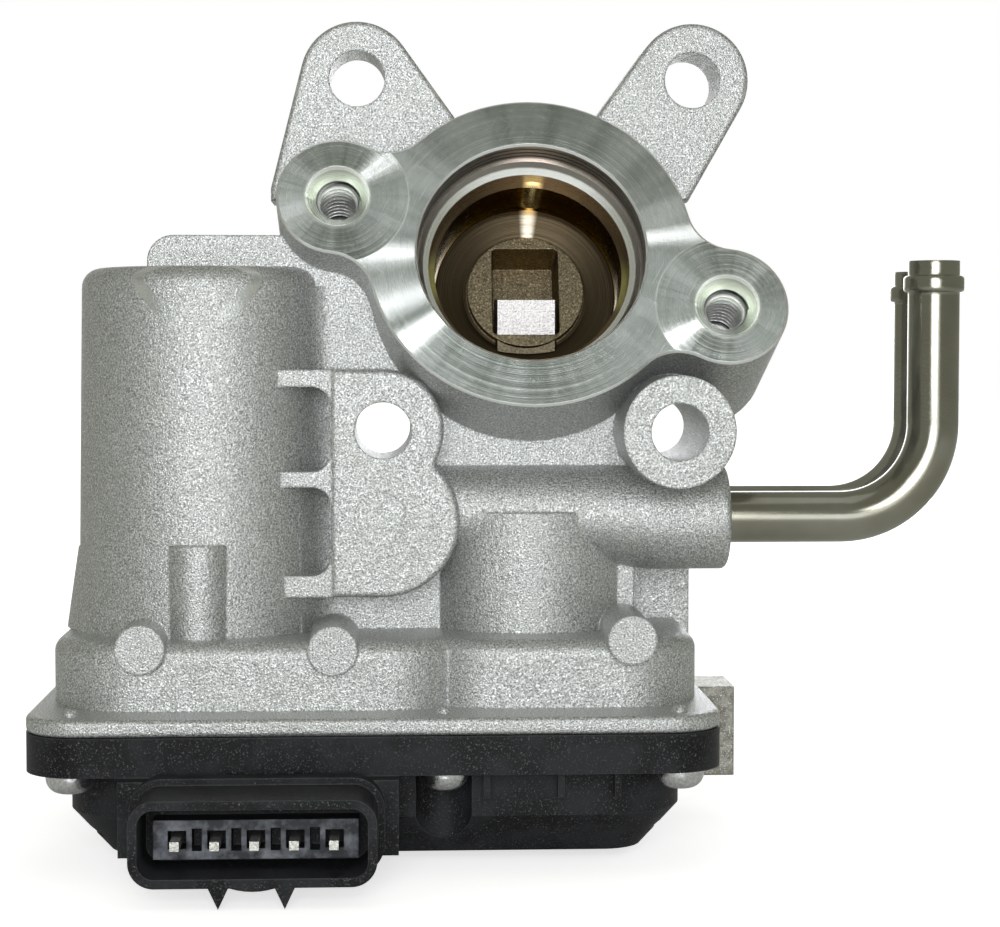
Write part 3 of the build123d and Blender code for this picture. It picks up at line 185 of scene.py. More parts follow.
class Shade(Nodes):
    """One material, placed by the object's own coordinates, which are the frame's."""

    def __init__(self, name, metallic=0.0):
        self.material = bpy.data.materials.new(name)
        self.material.use_nodes = True
        super().__init__(self.material.node_tree)
        self.shader = self.add("ShaderNodeBsdfPrincipled")
        self.put(self.add("ShaderNodeOutputMaterial").inputs[0], self.shader.outputs[0])
        coords = self.add("ShaderNodeTexCoord")
        self.place = coords.outputs["Object"]
        self.facing = coords.outputs["Normal"]
        self.set("Metallic", metallic)

    def set(self, name, value):
        self.put(self.shader.inputs[name], value)

    def vector(self, operation, *values, out="Vector"):
        node = self.add("ShaderNodeVectorMath", operation=operation)
        return self.fill(node, *values, out=out)

    def unit(self, value):
        return self.vector("NORMALIZE", value)

    def faces(self, way):
        """1 where the surface faces a direction, 0 where it lies along it."""
        return self.vector("DOT_PRODUCT", self.facing, tuple(way), out="Value")

    def along(self, way):
        """How far along a direction a point lies."""
        return self.vector("DOT_PRODUCT", self.place, tuple(way), out="Value")

    def from_axis(self, point, axis):
        """Depth along an axis from a point on it, distance from it, and the way round it."""
        offset = self.vector("SUBTRACT", self.place, tuple(point))
        depth = self.vector("DOT_PRODUCT", offset, tuple(axis), out="Value")
        around = self.vector("CROSS_PRODUCT", tuple(axis), offset)
        return depth, self.vector("LENGTH", around, out="Value"), self.unit(around)

    def mix(self, factor, one, two):
        """Mixes two colours."""
        node = self.add("ShaderNodeMix", data_type="RGBA")
        self.put(node.inputs[0], factor)
        for socket, value in zip((node.inputs[6], node.inputs[7]), (one, two)):
            self.put(socket, (*value, 1) if isinstance(value, tuple) else value)
        return node.outputs[2]

    def blend(self, factor, one, two):
        """Mixes two numbers."""
        node = self.add("ShaderNodeMix", data_type="FLOAT")
        self.put(node.inputs[0], factor)
        self.put(node.inputs[2], one)
        self.put(node.inputs[3], two)
        return node.outputs[0]

    def blend_vector(self, factor, one, two):
        """Mixes two directions."""
        node = self.add("ShaderNodeMix", data_type="VECTOR")
        self.put(node.inputs[0], factor)
        self.put(node.inputs[4], one)
        self.put(node.inputs[5], two)
        return node.outputs[1]

    def grain(self, size, detail=2.0, rough=0.5, place=None):
        """Noise whose blobs are about the given size in metres, centred on 0.5."""
        node = self.add("ShaderNodeTexNoise")
        self.put(node.inputs["Vector"], place or self.place)
        self.put(node.inputs["Scale"], 1 / size)
        self.put(node.inputs["Detail"], detail)
        self.put(node.inputs["Roughness"], rough)
        return node.outputs[0]

    def cutter_lines(self, distance, pitch):
        """Fine uneven rings that a cutter leaves, by distance from its axis or by depth."""
        node = self.add("ShaderNodeTexNoise", noise_dimensions="1D")
        self.put(node.inputs["W"], self.math("MULTIPLY", distance, 1 / pitch))
        self.put(node.inputs["Detail"], 3.0)
        return node.outputs[0]

    def fan(self, around, degrees, width):
        """1 where a point lies at an angle about the port axis, 0 beyond a width off it."""
        tangent = tuple(port_axis.cross(flange_way(degrees)))
        match = self.vector("DOT_PRODUCT", around, tangent, out="Value")
        return self.math("POWER", self.spread(match, cos(radians(width)), 1.0), fan_falloff)

    def fans(self, around, ways):
        """The brightest of several fans, each with its own strength."""
        flashes = [
            self.times(self.fan(around, degrees, width), strength)
            for degrees, width, strength in ways
        ]
        return self.most(*flashes)

    def hairlines(self, degrees, spacing, length):
        """Sparse straight scratches in the plane of the flange face."""
        lengthwise = flange_way(degrees)
        across = port_axis.cross(lengthwise)
        at = self.add("ShaderNodeCombineXYZ")
        for socket, way, size in ((0, lengthwise, length), (1, across, spacing)):
            self.put(at.inputs[socket], self.math("MULTIPLY", self.along(way), 1 / size))
        return self.spread(self.grain(1.0, 0, place=at.outputs[0]), 0.73, 0.78)

    def rounded(self, radius):
        """Normal that looks as if every edge had a small radius."""
        node = self.add("ShaderNodeBevel", samples=6)
        self.put(node.inputs["Radius"], radius)
        return node.outputs[0]

    def edges(self, normal):
        """1 along sharp edges, found where a rounded normal leaves the face's own."""
        own = self.add("ShaderNodeNewGeometry").outputs["Normal"]
        match = self.vector("DOT_PRODUCT", normal, own, out="Value")
        return self.spread(match, 0.8, 0.99, 1.0, 0.0)

    def bump(self, height, depth, strength=1.0, normal=None):
        node = self.add("ShaderNodeBump")
        self.put(node.inputs["Strength"], strength)
        self.put(node.inputs["Distance"], depth)
        self.put(node.inputs["Height"], height)
        if normal:
            self.put(node.inputs["Normal"], normal)
        return node.outputs[0]

    def lean(self, factor, normal):
        """Turns a normal some way to the front, so that a fan catches the light there."""
        return self.unit(self.blend_vector(factor, normal, fan_normal))


# ------------------------------------------------------------------ cast skin
def mould_ring(shade, colour):
    """Faint ring that an ejector pin leaves on the front of the pad."""
    _, radius, _ = shade.from_axis(ejector_mark, BACK)
    line = shade.below(shade.off(radius, ejector_mark_r), 0.1 * MM, 0.08 * MM)
    line = shade.times(line, shade.spread(shade.faces(FRONT), 0.9, 0.99))
    return shade.mix(shade.times(line, 0.55), colour, (0.25, 0.25, 0.24))


def gate_break(shade, colour):
    """Rough surface, dark brown in patches, where the casting was broken off its gate."""
    offset = shade.vector("SUBTRACT", shade.place, tuple(gate_low))
    size = tuple(1 / length for length in gate_high - gate_low)
    share = shade.vector("MULTIPLY", offset, size)
    rest = shade.vector("SUBTRACT", (1.0, 1.0, 1.0), share)
    parts = shade.add("ShaderNodeSeparateXYZ")
    shade.put(parts.inputs[0], shade.vector("MAXIMUM", share, rest))
    masks = [shade.below(part, 1.0, 0.02) for part in parts.outputs]
    chips = shade.grain(1.8 * MM, 4, 0.7)
    broken_surface = shade.mix(shade.spread(chips, 0.36, 0.66), (0.17, 0.155, 0.115), (0.48, 0.47, 0.41))
    return shade.mix(shade.times(*masks, 0.85), colour, broken_surface)


def cast_look(shade):
    """Colour with painted glints, roughness and height of shot-blasted die-cast aluminium."""
    fine = shade.grain(0.26 * MM, 2, 0.6)
    coarse = shade.grain(0.7 * MM, 2)
    mottle = shade.grain(9 * MM, 3)
    speckle = shade.spread(fine, 0.34, 0.66)
    colour = shade.mix(speckle, (0.25, 0.255, 0.245), (0.86, 0.87, 0.87))
    colour = shade.mix(shade.spread(mottle, 0.35, 0.7, 0.0, 0.25), colour, (0.52, 0.53, 0.49))
    colour = gate_break(shade, mould_ring(shade, colour))
    # Painted highlight: white glints in the grain, which are also smoother
    glint = shade.spread(fine, 0.6, 0.69)
    colour = shade.mix(shade.times(glint, 0.8), colour, (1.0, 1.0, 1.0))
    rough = shade.blend(glint, shade.spread(coarse, 0.3, 0.7, 0.4, 0.55), 0.32)
    height = shade.math("ADD", shade.times(coarse, 0.6), fine)
    return colour, rough, height


# ------------------------------------------------------------------ machined faces
class Lobe:
    """Masks of one threaded lobe, whose cutter marks run round its own hole."""

    def __init__(self, shade, name):
        depth, radius, self.way = shade.from_axis(bolt_tops[name], port_axis)
        in_depth = shade.spread(depth, -bolt_depth - 2 * MM, -bolt_depth)
        past_bore = shade.spread(radius, bolt_r - 0.05 * MM, bolt_r + 0.1 * MM)
        in_bore = shade.below(radius, bolt_r - 0.05 * MM, 0.05 * MM)
        self.radius = radius
        self.area = shade.below(radius, spot_face_r, 0.05 * MM)
        self.hole = shade.times(shade.below(radius, bolt_sink_r + 0.1 * MM, 0.08 * MM), in_depth)
        self.sink = shade.times(past_bore, self.hole)
        self.thread = shade.times(in_bore, in_depth)
        self.groove = shade.spread(radius, bolt_r - 0.5 * MM, bolt_r - 0.1 * MM)
        self.rim = shade.below(shade.off(radius, spot_face_r), 0.12 * MM, 0.1 * MM)
        self.painted_highlight = shade.fans(self.way, lobe_highlight_fans[name])


class Cuts:
    """Masks of the housing's machined surfaces, and the cutter's track over them."""

    def __init__(self, shade):
        self.depth, self.radius, self.round_port = shade.from_axis(port_centre, port_axis)
        self.mark_port(shade)
        self.mark_rear(shade)
        lobes = [Lobe(shade, name) for name in bolt_names]
        self.sink = shade.most(*[lobe.sink for lobe in lobes])
        self.rim = shade.most(*[lobe.rim for lobe in lobes])
        self.thread = shade.most(*[lobe.thread for lobe in lobes])
        holes = [lobe.hole for lobe in lobes]
        self.machined = shade.most(self.face, self.mouth, self.corner, self.rear, *holes)
        self.run_cutter(shade, lobes)

    def mark_port(self, shade):
        """The flange face, its bright chamfer, the mouth and the cone inside it."""
        turned_to = shade.faces(port_axis)
        off_face = shade.math("ABSOLUTE", self.depth)
        near_face = shade.below(off_face, 0.12 * MM, 0.05 * MM)
        self.face = shade.times(shade.spread(turned_to, 0.985, 0.995), near_face)
        self.corner = shade.times(
            shade.spread(turned_to, 0.55, 0.6),
            shade.below(turned_to, 0.9, 0.04),
            shade.below(off_face, machined_edge + 0.1 * MM, 0.05 * MM),
        )
        self.mouth = shade.times(
            shade.below(self.radius, mouth_r + 0.3 * MM, 0.1 * MM),
            shade.spread(self.depth, -mouth_reach - 0.2 * MM, -mouth_reach),
        )
        cone_top = mouth_land + 0.45 * throat_step
        cone_foot = mouth_land + throat_step
        self.cone = shade.times(
            self.mouth,
            shade.below(self.depth, -cone_top, 0.1 * MM),
            shade.spread(self.depth, -cone_foot - 0.1 * MM, -cone_foot),
        )

    def mark_rear(self, shade):
        """The milled mounting face, which lies in the frame's XZ plane."""
        near_plane = shade.below(shade.math("ABSOLUTE", shade.along(BACK)), 0.06 * MM, 0.02 * MM)
        self.rear = shade.times(near_plane, shade.spread(shade.faces(BACK), 0.98, 0.99))

    def run_cutter(self, shade, lobes):
        """Rings and painted highlight fans round the port, and round each lobe inside its own spot
        face.
        """
        self.way = self.round_port
        self.track = self.radius
        self.painted_highlight = shade.fans(self.way, port_highlight_fans)
        self.groove = 0.0
        for lobe in lobes:
            self.groove = shade.blend(lobe.area, self.groove, lobe.groove)
            self.painted_highlight = shade.blend(lobe.area, self.painted_highlight, lobe.painted_highlight)
            self.track = shade.blend(lobe.area, self.track, lobe.radius)
            self.way = shade.blend_vector(lobe.area, self.way, lobe.way)
        self.steps = shade.cutter_lines(self.depth, 0.3 * MM)
        self.lines = shade.blend(self.mouth, shade.cutter_lines(self.track, 0.16 * MM), self.steps)
        self.sheen = shade.grain(0.16, 3, 0.6, place=self.way)


def face_colour(shade, cuts):
    """Flange face: smears, bands of tone and painted sheen, painted highlight fans on the rings, a
    few scratches.
    """
    smear = shade.grain(5 * MM, 4, 0.6)
    colour = shade.mix(shade.spread(smear, 0.35, 0.68), (0.40, 0.44, 0.42), (0.58, 0.62, 0.60))
    # Bands by angle round the cutter's track: partly milling tone, partly painted sheen and painted
    # shade
    pale = shade.spread(cuts.sheen, 0.42, 0.68, 0.0, 0.5)
    dark = shade.spread(cuts.sheen, 0.3, 0.42, 0.4, 0.0)
    ringed = shade.spread(cuts.lines, 0.3, 0.7, 0.0, 0.3)
    colour = shade.mix(pale, colour, (0.86, 0.90, 0.90))
    colour = shade.mix(dark, colour, (0.27, 0.30, 0.28))
    colour = shade.mix(ringed, colour, (0.30, 0.33, 0.32))
    # Painted highlight: the fans lighten the face to white
    colour = shade.mix(cuts.painted_highlight, colour, (1.0, 1.0, 1.0))
    colour = shade.mix(shade.times(cuts.rim, 0.5), colour, (0.9, 0.93, 0.92))
    for degrees in (-38, 62):
        scratch = shade.hairlines(degrees, spacing=0.13 * MM, length=5 * MM)
        colour = shade.mix(shade.times(scratch, 0.6), colour, (0.9, 0.92, 0.92))
    return colour


def bore_colour(shade, cuts):
    """Rings of the bore: dull grooved land with a painted highlight, a cone painted near-white,
    then the heat-browned throat.
    """
    ringed = shade.spread(cuts.steps, 0.35, 0.65)
    land = shade.mix(ringed, (0.16, 0.14, 0.115), (0.36, 0.33, 0.29))
    # Painted highlight near the top of the land
    painted_top_light = shade.fan(cuts.round_port, 88, 22)
    land = shade.mix(shade.times(painted_top_light, 0.8), land, (0.80, 0.70, 0.64))
    for groove in land_grooves:
        line = shade.below(shade.off(cuts.depth, -groove), 0.2 * MM, 0.12 * MM)
        land = shade.mix(line, land, (0.035, 0.032, 0.026))
    below_land = shade.below(cuts.depth, -mouth_land, 0.05 * MM)
    below_cone = shade.below(cuts.depth, -mouth_land - throat_step, 0.05 * MM)
    colour = shade.mix(below_land, land, (0.34, 0.32, 0.29))
    # Painted highlight: the cone coloured near-white
    colour = shade.mix(cuts.cone, colour, (0.92, 0.93, 0.90))
    throat = shade.mix(cuts.steps, (0.20, 0.16, 0.11), (0.42, 0.34, 0.24))
    return shade.mix(below_cone, colour, throat)


def rear_colour(shade):
    """Mounting face: wide arcs of a milling cutter."""
    _, sweep, _ = shade.from_axis(mill_centre, BACK)
    arcs = shade.cutter_lines(sweep, 0.9 * MM)
    return shade.mix(shade.spread(arcs, 0.3, 0.7), (0.50, 0.53, 0.52), (0.76, 0.78, 0.77))


def machined_colour(shade, cuts):
    """The bare metal of every machined surface of the housing, with painted highlights and painted
    shade.
    """
    colour = shade.mix(cuts.mouth, face_colour(shade, cuts), bore_colour(shade, cuts))
    colour = shade.mix(cuts.sink, colour, (0.64, 0.68, 0.59))
    colour = shade.mix(cuts.rear, colour, rear_colour(shade))
    # Painted highlight on the thread crests and painted shade in the thread roots
    thread = shade.mix(cuts.groove, (0.97, 0.97, 0.96), (0.10, 0.10, 0.095))
    colour = shade.mix(cuts.thread, colour, thread)
    # Painted highlight: the chamfer round the flange face coloured near-white
    return shade.mix(cuts.corner, colour, (0.97, 0.98, 0.98))


def housing_normal(shade, cuts, cast_height):
    """Grain on the cast skin, rings on the machined faces, and light caught by the fans."""
    rounded = shade.rounded(shade.blend(cuts.machined, 0.55 * MM, 0.08 * MM))
    grain_strength = shade.blend(cuts.machined, 0.9, 0.0)
    ring_strength = shade.blend(cuts.machined, 0.0, 0.5)
    normal = shade.bump(cast_height, 0.14 * MM, grain_strength, rounded)
    normal = shade.bump(cuts.lines, 0.02 * MM, ring_strength, normal)
    uneven = shade.spread(cuts.sheen, 0.3, 0.6, 0.6, 1.0)
    fans = shade.times(cuts.painted_highlight, uneven, cuts.face)
    return shade.lean(shade.most(fans, shade.times(cuts.cone, 0.4)), normal)


# ------------------------------------------------------------------ materials
def make_housing_look():
    """Cast skin, with the flange face, mouth, threads and mounting face machined."""
    shade = Shade("cast_aluminium_skin")
    cuts = Cuts(shade)
    cast_colour, cast_rough, cast_height = cast_look(shade)
    smooth = shade.spread(cuts.lines, 0.3, 0.7, 0.2, 0.32)
    bare = machined_colour(shade, cuts)
    shade.set("Base Color", shade.mix(cuts.machined, cast_colour, bare))
    shade.set("Roughness", shade.blend(cuts.machined, cast_rough, smooth))
    shade.set("Metallic", shade.blend(cuts.machined, 0.8, 1.0))
    shade.set("Anisotropic", shade.blend(cuts.machined, 0.0, 0.7))
    shade.set("Tangent", cuts.way)
    shade.set("Normal", housing_normal(shade, cuts, cast_height))
    return shade.material


def make_steel_look():
    """Ground steel, ringed along the motor's axis."""
    shade = Shade("ground_steel", metallic=1.0)
    can_low, can_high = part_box("motor_can")
    motor_foot = Vector(((can_low.x + can_high.x) / 2, (can_low.y + can_high.y) / 2, 0))
    depth, _, way = shade.from_axis(motor_foot, UP)
    lines = shade.cutter_lines(depth, 0.3 * MM)
    stain = shade.grain(6 * MM, 4, 0.6)
    dark = (0.42, 0.42, 0.43)
    colour = shade.mix(shade.spread(lines, 0.3, 0.72), dark, (0.66, 0.66, 0.67))
    shade.set("Base Color", shade.mix(shade.spread(stain, 0.4, 0.7, 0.0, 0.5), colour, dark))
    shade.set("Roughness", shade.spread(stain, 0.3, 0.7, 0.192, 0.312))
    shade.set("Anisotropic", 0.5)
    shade.set("Tangent", way)
    shade.set("Normal", shade.bump(lines, 0.03 * MM, 0.6))
    return shade.material


def make_sleeve_look():
    """Sleeve turned inside, heat-browned, with painted golden and olive catch-lights along its
    bore.
    """
    shade = Shade("heat_tinted_steel", metallic=1.0)
    depth, _, way = shade.from_axis(port_centre, port_axis)
    lines = shade.cutter_lines(depth, 0.3 * MM)
    stain = shade.grain(6 * MM, 4, 0.6)
    colour = shade.mix(shade.spread(lines, 0.3, 0.72), (0.07, 0.05, 0.03), (0.20, 0.15, 0.09))
    stained = shade.spread(stain, 0.4, 0.7, 0.0, 0.5)
    colour = shade.mix(stained, colour, (0.06, 0.045, 0.025))
    # Painted highlights: a golden streak at the top of the bore and olive glints at its sides
    painted_gold_streak = shade.fan(way, 86, 7)
    painted_side_glints = shade.most(shade.fan(way, 183, 20), shade.fan(way, 352, 20))
    colour = shade.mix(shade.times(painted_side_glints, 0.6), colour, (0.40, 0.38, 0.12))
    shade.set("Base Color", shade.mix(painted_gold_streak, colour, (0.95, 0.74, 0.36)))
    shade.set("Specular Tint", (0.42, 0.33, 0.18, 1))
    shade.set("Roughness", shade.spread(stain, 0.3, 0.7, 0.2, 0.32))
    shade.set("Anisotropic", 0.5)
    shade.set("Tangent", way)
    shade.set("Normal", shade.lean(shade.times(painted_gold_streak, 0.5), shade.bump(lines, 0.03 * MM, 0.6)))
    return shade.material


def make_plate_look():
    """Turned plate, browned by heat, with a painted highlight streak and a sintered hub in its
    middle.
    """
    shade = Shade("brown_plate", metallic=1.0)
    _, radius, way = shade.from_axis(port_centre, port_axis)
    lines = shade.cutter_lines(radius, 0.5 * MM)
    dish = shade.mix(shade.spread(lines, 0.3, 0.72), (0.028, 0.021, 0.012), (0.11, 0.083, 0.05))
    # Painted highlight: a pale streak across the dish near its top
    dish = shade.mix(shade.fan(way, 87, 7), dish, (0.62, 0.55, 0.45))
    fine = shade.grain(0.3 * MM, 3, 0.65)
    hub = shade.mix(shade.spread(fine, 0.38, 0.64), (0.10, 0.082, 0.052), (0.34, 0.28, 0.18))
    hub = shade.mix(shade.spread(fine, 0.62, 0.7, 0.0, 0.8), hub, (0.80, 0.68, 0.42))
    in_hub = shade.below(radius, hub_r + 0.15 * MM, 0.05 * MM)
    height = shade.blend(in_hub, lines, fine)
    shade.set("Base Color", shade.mix(in_hub, dish, hub))
    shade.set("Specular Tint", (0.5, 0.4, 0.26, 1))
    shade.set("Roughness", shade.blend(in_hub, 0.32, 0.45))
    shade.set("Anisotropic", shade.blend(in_hub, 0.5, 0.0))
    shade.set("Tangent", way)
    shade.set("Normal", shade.bump(height, 0.06 * MM, 0.6, shade.rounded(0.25 * MM)))
    return shade.material


def make_shaft_look():
    """Shaft browned like the hub, but bright where its flat shows in the hub's pocket."""
    shade = Shade("valve_shaft_steel", metallic=1.0)
    in_pocket = shade.below(shade.off(shade.along(UP), flat_middle), flat_reach, 0.03 * MM)
    bright = shade.times(shade.spread(shade.faces(FRONT), 0.9, 0.99), in_pocket)
    fine = shade.grain(0.35 * MM, 3, 0.6)
    silver = shade.mix(shade.spread(fine, 0.36, 0.62), (0.44, 0.41, 0.40), (0.92, 0.90, 0.90))
    brown = shade.mix(shade.spread(fine, 0.36, 0.66), (0.09, 0.075, 0.05), (0.30, 0.25, 0.17))
    shade.set("Base Color", shade.mix(bright, brown, silver))
    shade.set("Roughness", shade.spread(fine, 0.3, 0.7, 0.42, 0.6))
    shade.set("Normal", shade.bump(fine, 0.1 * MM, 0.9))
    return shade.material


def make_grainy_look(name, dark, light, rough, size, metallic=1.0):
    """Sintered, cast or moulded surface with grain of one size."""
    shade = Shade(name, metallic=metallic)
    fine = shade.grain(size, 3, 0.6)
    patch = shade.grain(size * 16, 3)
    colour = shade.mix(shade.spread(fine, 0.36, 0.66), dark, light)
    shade.set("Base Color", shade.mix(shade.spread(patch, 0.4, 0.75, 0.0, 0.35), colour, dark))
    shade.set("Roughness", shade.spread(patch, 0.3, 0.7, rough * 0.85, rough * 1.2))
    shade.set("Normal", shade.bump(fine, 0.08 * MM, 0.7))
    return shade.material


def mottled_insulator(shade, colour):
    """The moulded face round the terminals, lighter and mottled."""
    near_face = shade.below(shade.off(shade.along(BACK), insulator_face), 0.15 * MM, 0.05 * MM)
    on_face = shade.times(shade.spread(shade.faces(FRONT), 0.9, 0.99), near_face)
    mottle_mask = shade.spread(shade.grain(2.4 * MM, 4, 0.6), 0.4, 0.7)
    lighter_face = shade.mix(mottle_mask, (0.055, 0.058, 0.066), (0.27, 0.28, 0.31))
    return shade.mix(on_face, colour, lighter_face)


def make_plastic_look():
    """Black glass-filled nylon: pale flecks, satin patches and a painted highlight along the edges.
    """
    shade = Shade("black_nylon")
    fine = shade.grain(0.28 * MM, 3, 0.65)
    cloud = shade.grain(7 * MM, 4)
    rounded = shade.rounded(0.3 * MM)
    fleck = shade.spread(fine, 0.57, 0.74)
    colour = shade.mix(fleck, (0.009, 0.0092, 0.0098), (0.19, 0.195, 0.205))
    colour = shade.mix(shade.spread(cloud, 0.42, 0.6, 0.0, 0.7), colour, (0.030, 0.031, 0.034))
    # Painted highlight along every edge, stronger in patches
    edge_highlight = shade.times(shade.edges(rounded), shade.spread(cloud, 0.3, 0.6, 0.5, 1.0))
    colour = shade.mix(edge_highlight, colour, (0.085, 0.088, 0.090))
    shade.set("Base Color", mottled_insulator(shade, colour))
    shade.set("Roughness", shade.spread(cloud, 0.3, 0.7, 0.36, 0.5))
    shade.set("Specular IOR Level", 0.16)
    shade.set("Normal", shade.bump(fine, 0.06 * MM, 0.55, rounded))
    return shade.material


def make_pipe_look():
    """Bright nickel plating with faint pits and a warm tint in patches."""
    shade = Shade("nickel_plate", metallic=1.0)
    patch = shade.grain(14 * MM, 3)
    pits = shade.grain(0.5 * MM, 2)
    tint = shade.spread(patch, 0.35, 0.7)
    shade.set("Base Color", shade.mix(tint, (0.42, 0.41, 0.36), (0.30, 0.29, 0.23)))
    shade.set("Roughness", shade.spread(patch, 0.3, 0.7, 0.0975, 0.1625))
    shade.set("Normal", shade.bump(pits, 0.01 * MM, 0.35, shade.rounded(0.7 * MM)))
    return shade.material


def make_coil_look():
    """Enamelled copper wire, wound in rows, with painted shade between the rows."""
    shade = Shade("enamelled_copper", metallic=0.8)
    wave = shade.add("ShaderNodeTexWave", bands_direction="Z")
    shade.put(wave.inputs["Vector"], shade.place)
    shade.put(wave.inputs["Scale"], 320.0)
    rows = wave.outputs[1]
    # Painted shade: the copper is darker in the hollows between the rows
    shade.set("Base Color", shade.mix(rows, (0.28, 0.09, 0.03), (0.62, 0.25, 0.09)))
    shade.set("Roughness", shade.spread(shade.grain(2 * MM), 0.3, 0.7, 0.25, 0.4))
    shade.set("Normal", shade.bump(rows, 0.2 * MM, 0.8))
    return shade.material


housing_look = make_housing_look()
looks = {
    housing_look: ("housing",),
    make_plastic_look(): ("sensor_cover", "motor_end_cap", "hall_sensor"),
    make_pipe_look(): ("front_coolant_pipe", "rear_coolant_pipe"),
    make_sleeve_look(): ("port_sleeve",),
    make_plate_look(): ("valve_plate",),
    make_shaft_look(): ("valve_shaft",),
    make_steel_look(): (
        "motor_shaft", "idler_pin", "bearing_outer_race", "bearing_inner_race", "bearing_balls",
        "motor_pinion",
    ),
    make_grainy_look("natural_nylon", (0.62, 0.58, 0.48), (0.72, 0.69, 0.6), 0.45, 0.6 * MM, 0.0): (
        "sector_gear", "idler_gear", "spring_sleeve",
    ),
    make_grainy_look("seal_ring_iron", (0.14, 0.11, 0.08), (0.34, 0.28, 0.2), 0.3, 0.4 * MM): (
        "plate_seal_ring",
    ),
    make_grainy_look("zinc_plate", (0.55, 0.55, 0.56), (0.86, 0.86, 0.86), 0.26, 0.5 * MM): (
        "cover_screws", "retainer_screws",
    ),
    make_grainy_look("bronze", (0.42, 0.27, 0.11), (0.66, 0.45, 0.2), 0.38, 0.4 * MM): (
        "shaft_bush", "motor_bush", "commutator",
    ),
    make_grainy_look("tinned_copper", (0.52, 0.51, 0.47), (0.88, 0.87, 0.82), 0.34, 0.3 * MM): (
        "connector_terminals",
    ),
    make_grainy_look("can_zinc", (0.40, 0.41, 0.42), (0.64, 0.65, 0.66), 0.32, 1.2 * MM): (
        "motor_can", "motor_retainer", "magnet_yoke", "return_spring",
    ),
    make_grainy_look("lamination_steel", (0.22, 0.22, 0.23), (0.4, 0.4, 0.41), 0.4, 0.5 * MM): (
        "armature_core",
    ),
    make_grainy_look("ferrite", (0.03, 0.03, 0.032), (0.09, 0.09, 0.095), 0.6, 0.4 * MM, 0.0): (
        "field_magnets", "sensor_magnets", "motor_brushes",
    ),
    make_grainy_look("rubber", (0.012, 0.012, 0.012), (0.05, 0.05, 0.05), 0.7, 0.6 * MM, 0.0): (
        "shaft_seal", "cover_gasket",
    ),
    make_coil_look(): ("armature_windings",),
}
for look, names in looks.items():
    for name in names:
        for slot in nodes[name].material_slots:
            slot.material = look


# ------------------------------------------------------------------ threads of the lobes
def link_mesh(name, data, look):
    """Turns finished bmesh data into an object of the scene."""
    mesh = bpy.data.meshes.new(name)
    data.to_mesh(mesh)
    data.free()
    mesh.materials.append(look)
    made = bpy.data.objects.new(name, mesh)
    bpy.context.scene.collection.objects.link(made)
    return made


def rings_to_faces(data, rings):
    """Joins neighbouring rings of points with quads."""
    loops = [[data.verts.new(point) for point in ring] for ring in rings]
    for lower, upper in zip(loops, loops[1:]):
        for i in range(len(lower) - 1):
            data.faces.new((lower[i], lower[i + 1], upper[i + 1], upper[i]))


def make_thread(name, top):
    """Female thread of a lobe: one helical ridge with a flat crest, run out at both ends."""
    steps = 40
    start = 1.6 * MM
    foot = 0.6 * MM
    turns = (bolt_depth - start - foot) / thread_pitch
    root_r = bolt_r - 0.02 * MM
    crest_r = bolt_r - thread_height
    run_out = 1.6
    # The ridge across one turn, in shares of the pitch and of the height
    profile = ((0.0, 0.0), (0.36, 1.0), (0.52, 1.0), (0.88, 0.0))
    rings = []
    for i in range(int(turns * steps) + 1):
        turn = i / steps
        outward = flange_way(360 * turn)
        fade = min(1.0, turn * run_out, (turns - turn) * run_out)
        ring = []
        for along, rise in profile:
            radius = root_r + (crest_r - root_r) * rise * fade
            sink = start + thread_pitch * (turn + along)
            ring.append(top + outward * radius - port_axis * sink)
        rings.append(ring)
    data = bmesh.new()
    rings_to_faces(data, rings)
    bmesh.ops.recalc_face_normals(data, faces=data.faces)
    made = link_mesh(name, data, housing_look)
    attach(made, "body")


for bolt_name, bolt_top in bolt_tops.items():
    make_thread(bolt_name.replace("front_bolt", "thread"), bolt_top)


# ------------------------------------------------------------------ camera, light and floor
camera_yaw = radians(2.8078)
camera_pitch = radians(-2.9007)
valve_middle = Vector((-0.015, -0.01, 0.0))
backdrop_edge = radians(32)
floor_reach = 3.0
floor_gap = 0.1 * MM
floor_glow = 0.68
floor_fade = (0.22, 0.6)


def make_camera():
    """A camera before the valve, a little above its middle and turned down to it."""
    camera = bpy.data.objects.new("camera", bpy.data.cameras.new("camera"))
    camera.data.lens = 80.64
    camera.data.sensor_width = 36
    camera.data.sensor_fit = "HORIZONTAL"
    camera.data.clip_start = 0.01
    camera.location = (-21.1 * MM, -362 * MM, 12.25 * MM)
    level = cos(camera_pitch)
    ahead = Vector((sin(camera_yaw) * level, cos(camera_yaw) * level, sin(camera_pitch)))
    camera.rotation_euler = ahead.to_track_quat("-Z", "Y").to_euler()
    bpy.context.scene.collection.objects.link(camera)
    bpy.context.scene.camera = camera


def make_softbox(name, place, size, watts):
    """A square area lamp, slightly cool, turned to the middle of the valve."""
    light = bpy.data.lights.new(name, "AREA")
    light.color = (0.95, 0.97, 1.0)
    light.size = size
    light.energy = watts
    made = bpy.data.objects.new(name, light)
    made.location = place
    aim = valve_middle - Vector(place)
    made.rotation_euler = aim.to_track_quat("-Z", "Y").to_euler()
    bpy.context.scene.collection.objects.link(made)


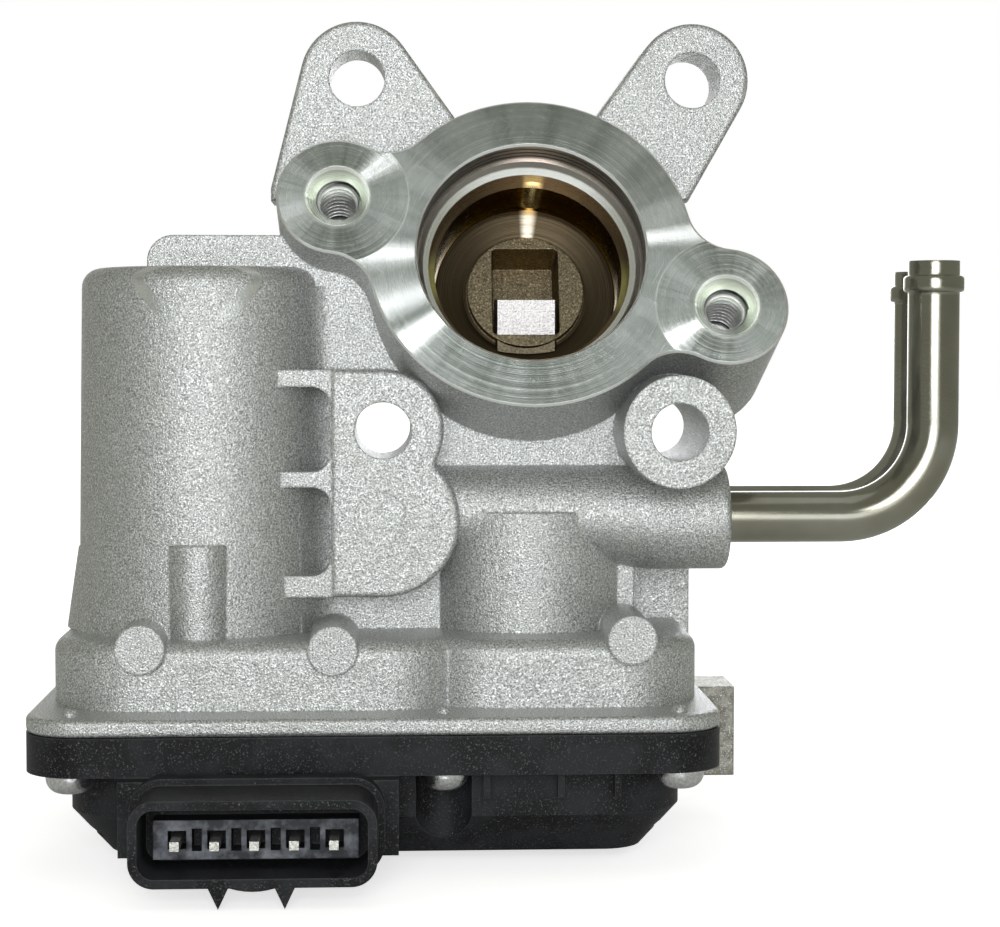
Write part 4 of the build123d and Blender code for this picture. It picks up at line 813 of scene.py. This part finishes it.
def make_world():
    """An olive-grey studio. White is seen past the valve, and in metal from close behind it."""
    world = bpy.data.worlds.new("studio")
    world.use_nodes = True
    sky = Nodes(world.node_tree)
    room = sky.fill(sky.add("ShaderNodeBackground"), (0.95, 0.97, 0.84, 1), 0.32)
    white = sky.fill(sky.add("ShaderNodeBackground"), (1, 1, 1, 1), 1.0)
    way = sky.add("ShaderNodeSeparateXYZ")
    sky.put(way.inputs[0], sky.add("ShaderNodeTexCoord").outputs["Generated"])
    rays = sky.add("ShaderNodeLightPath").outputs
    behind = sky.spread(way.outputs["Y"], cos(backdrop_edge), cos(backdrop_edge * 0.7))
    mirrored = sky.times(rays["Is Glossy Ray"], behind)
    seen = sky.most(rays["Is Camera Ray"], rays["Is Transmission Ray"], mirrored)
    mixed = sky.fill(sky.add("ShaderNodeMixShader"), seen, room, white)
    sky.put(sky.add("ShaderNodeOutputWorld").inputs[0], mixed)
    bpy.context.scene.world = world


def make_floor_look():
    """Pale floor that keeps the shadow and fades to the white of the backdrop."""
    shade = Shade("pale_floor")
    cloud = shade.grain(0.05, 2)
    shade.set("Base Color", shade.mix(cloud, (0.93, 0.93, 0.93), (0.95, 0.95, 0.95)))
    shade.set("Roughness", 0.9)
    shade.set("Emission Color", (1, 1, 1, 1))
    seen = shade.add("ShaderNodeLightPath").outputs["Is Camera Ray"]
    away = shade.vector("LENGTH", shade.place, out="Value")
    glow = shade.spread(away, *floor_fade, floor_glow, 1.0)
    shade.set("Emission Strength", shade.times(seen, glow))
    return shade.material


def make_floor():
    """Pale floor that the valve stands on."""
    data = bmesh.new()
    level = cad_box[0][2] - floor_gap
    corners = ((-1, -1), (1, -1), (1, 1), (-1, 1))
    data.faces.new([data.verts.new((x * floor_reach, y * floor_reach, level)) for x, y in corners])
    link_mesh("floor", data, make_floor_look())


make_camera()
make_softbox("key", place=(-0.05, -0.75, 0.16), size=0.35, watts=2.4)
make_softbox("top", place=(0.1, -0.1, 0.7), size=0.4, watts=0.15)
make_softbox("rear_fill", place=(0.12, 0.8, 0.1), size=0.4, watts=1.6)
make_softbox("low_fill", place=(0.05, -0.6, -0.03), size=0.3, watts=0.4)
make_world()
make_floor()
bpy.context.scene.view_settings.view_transform = "Standard"
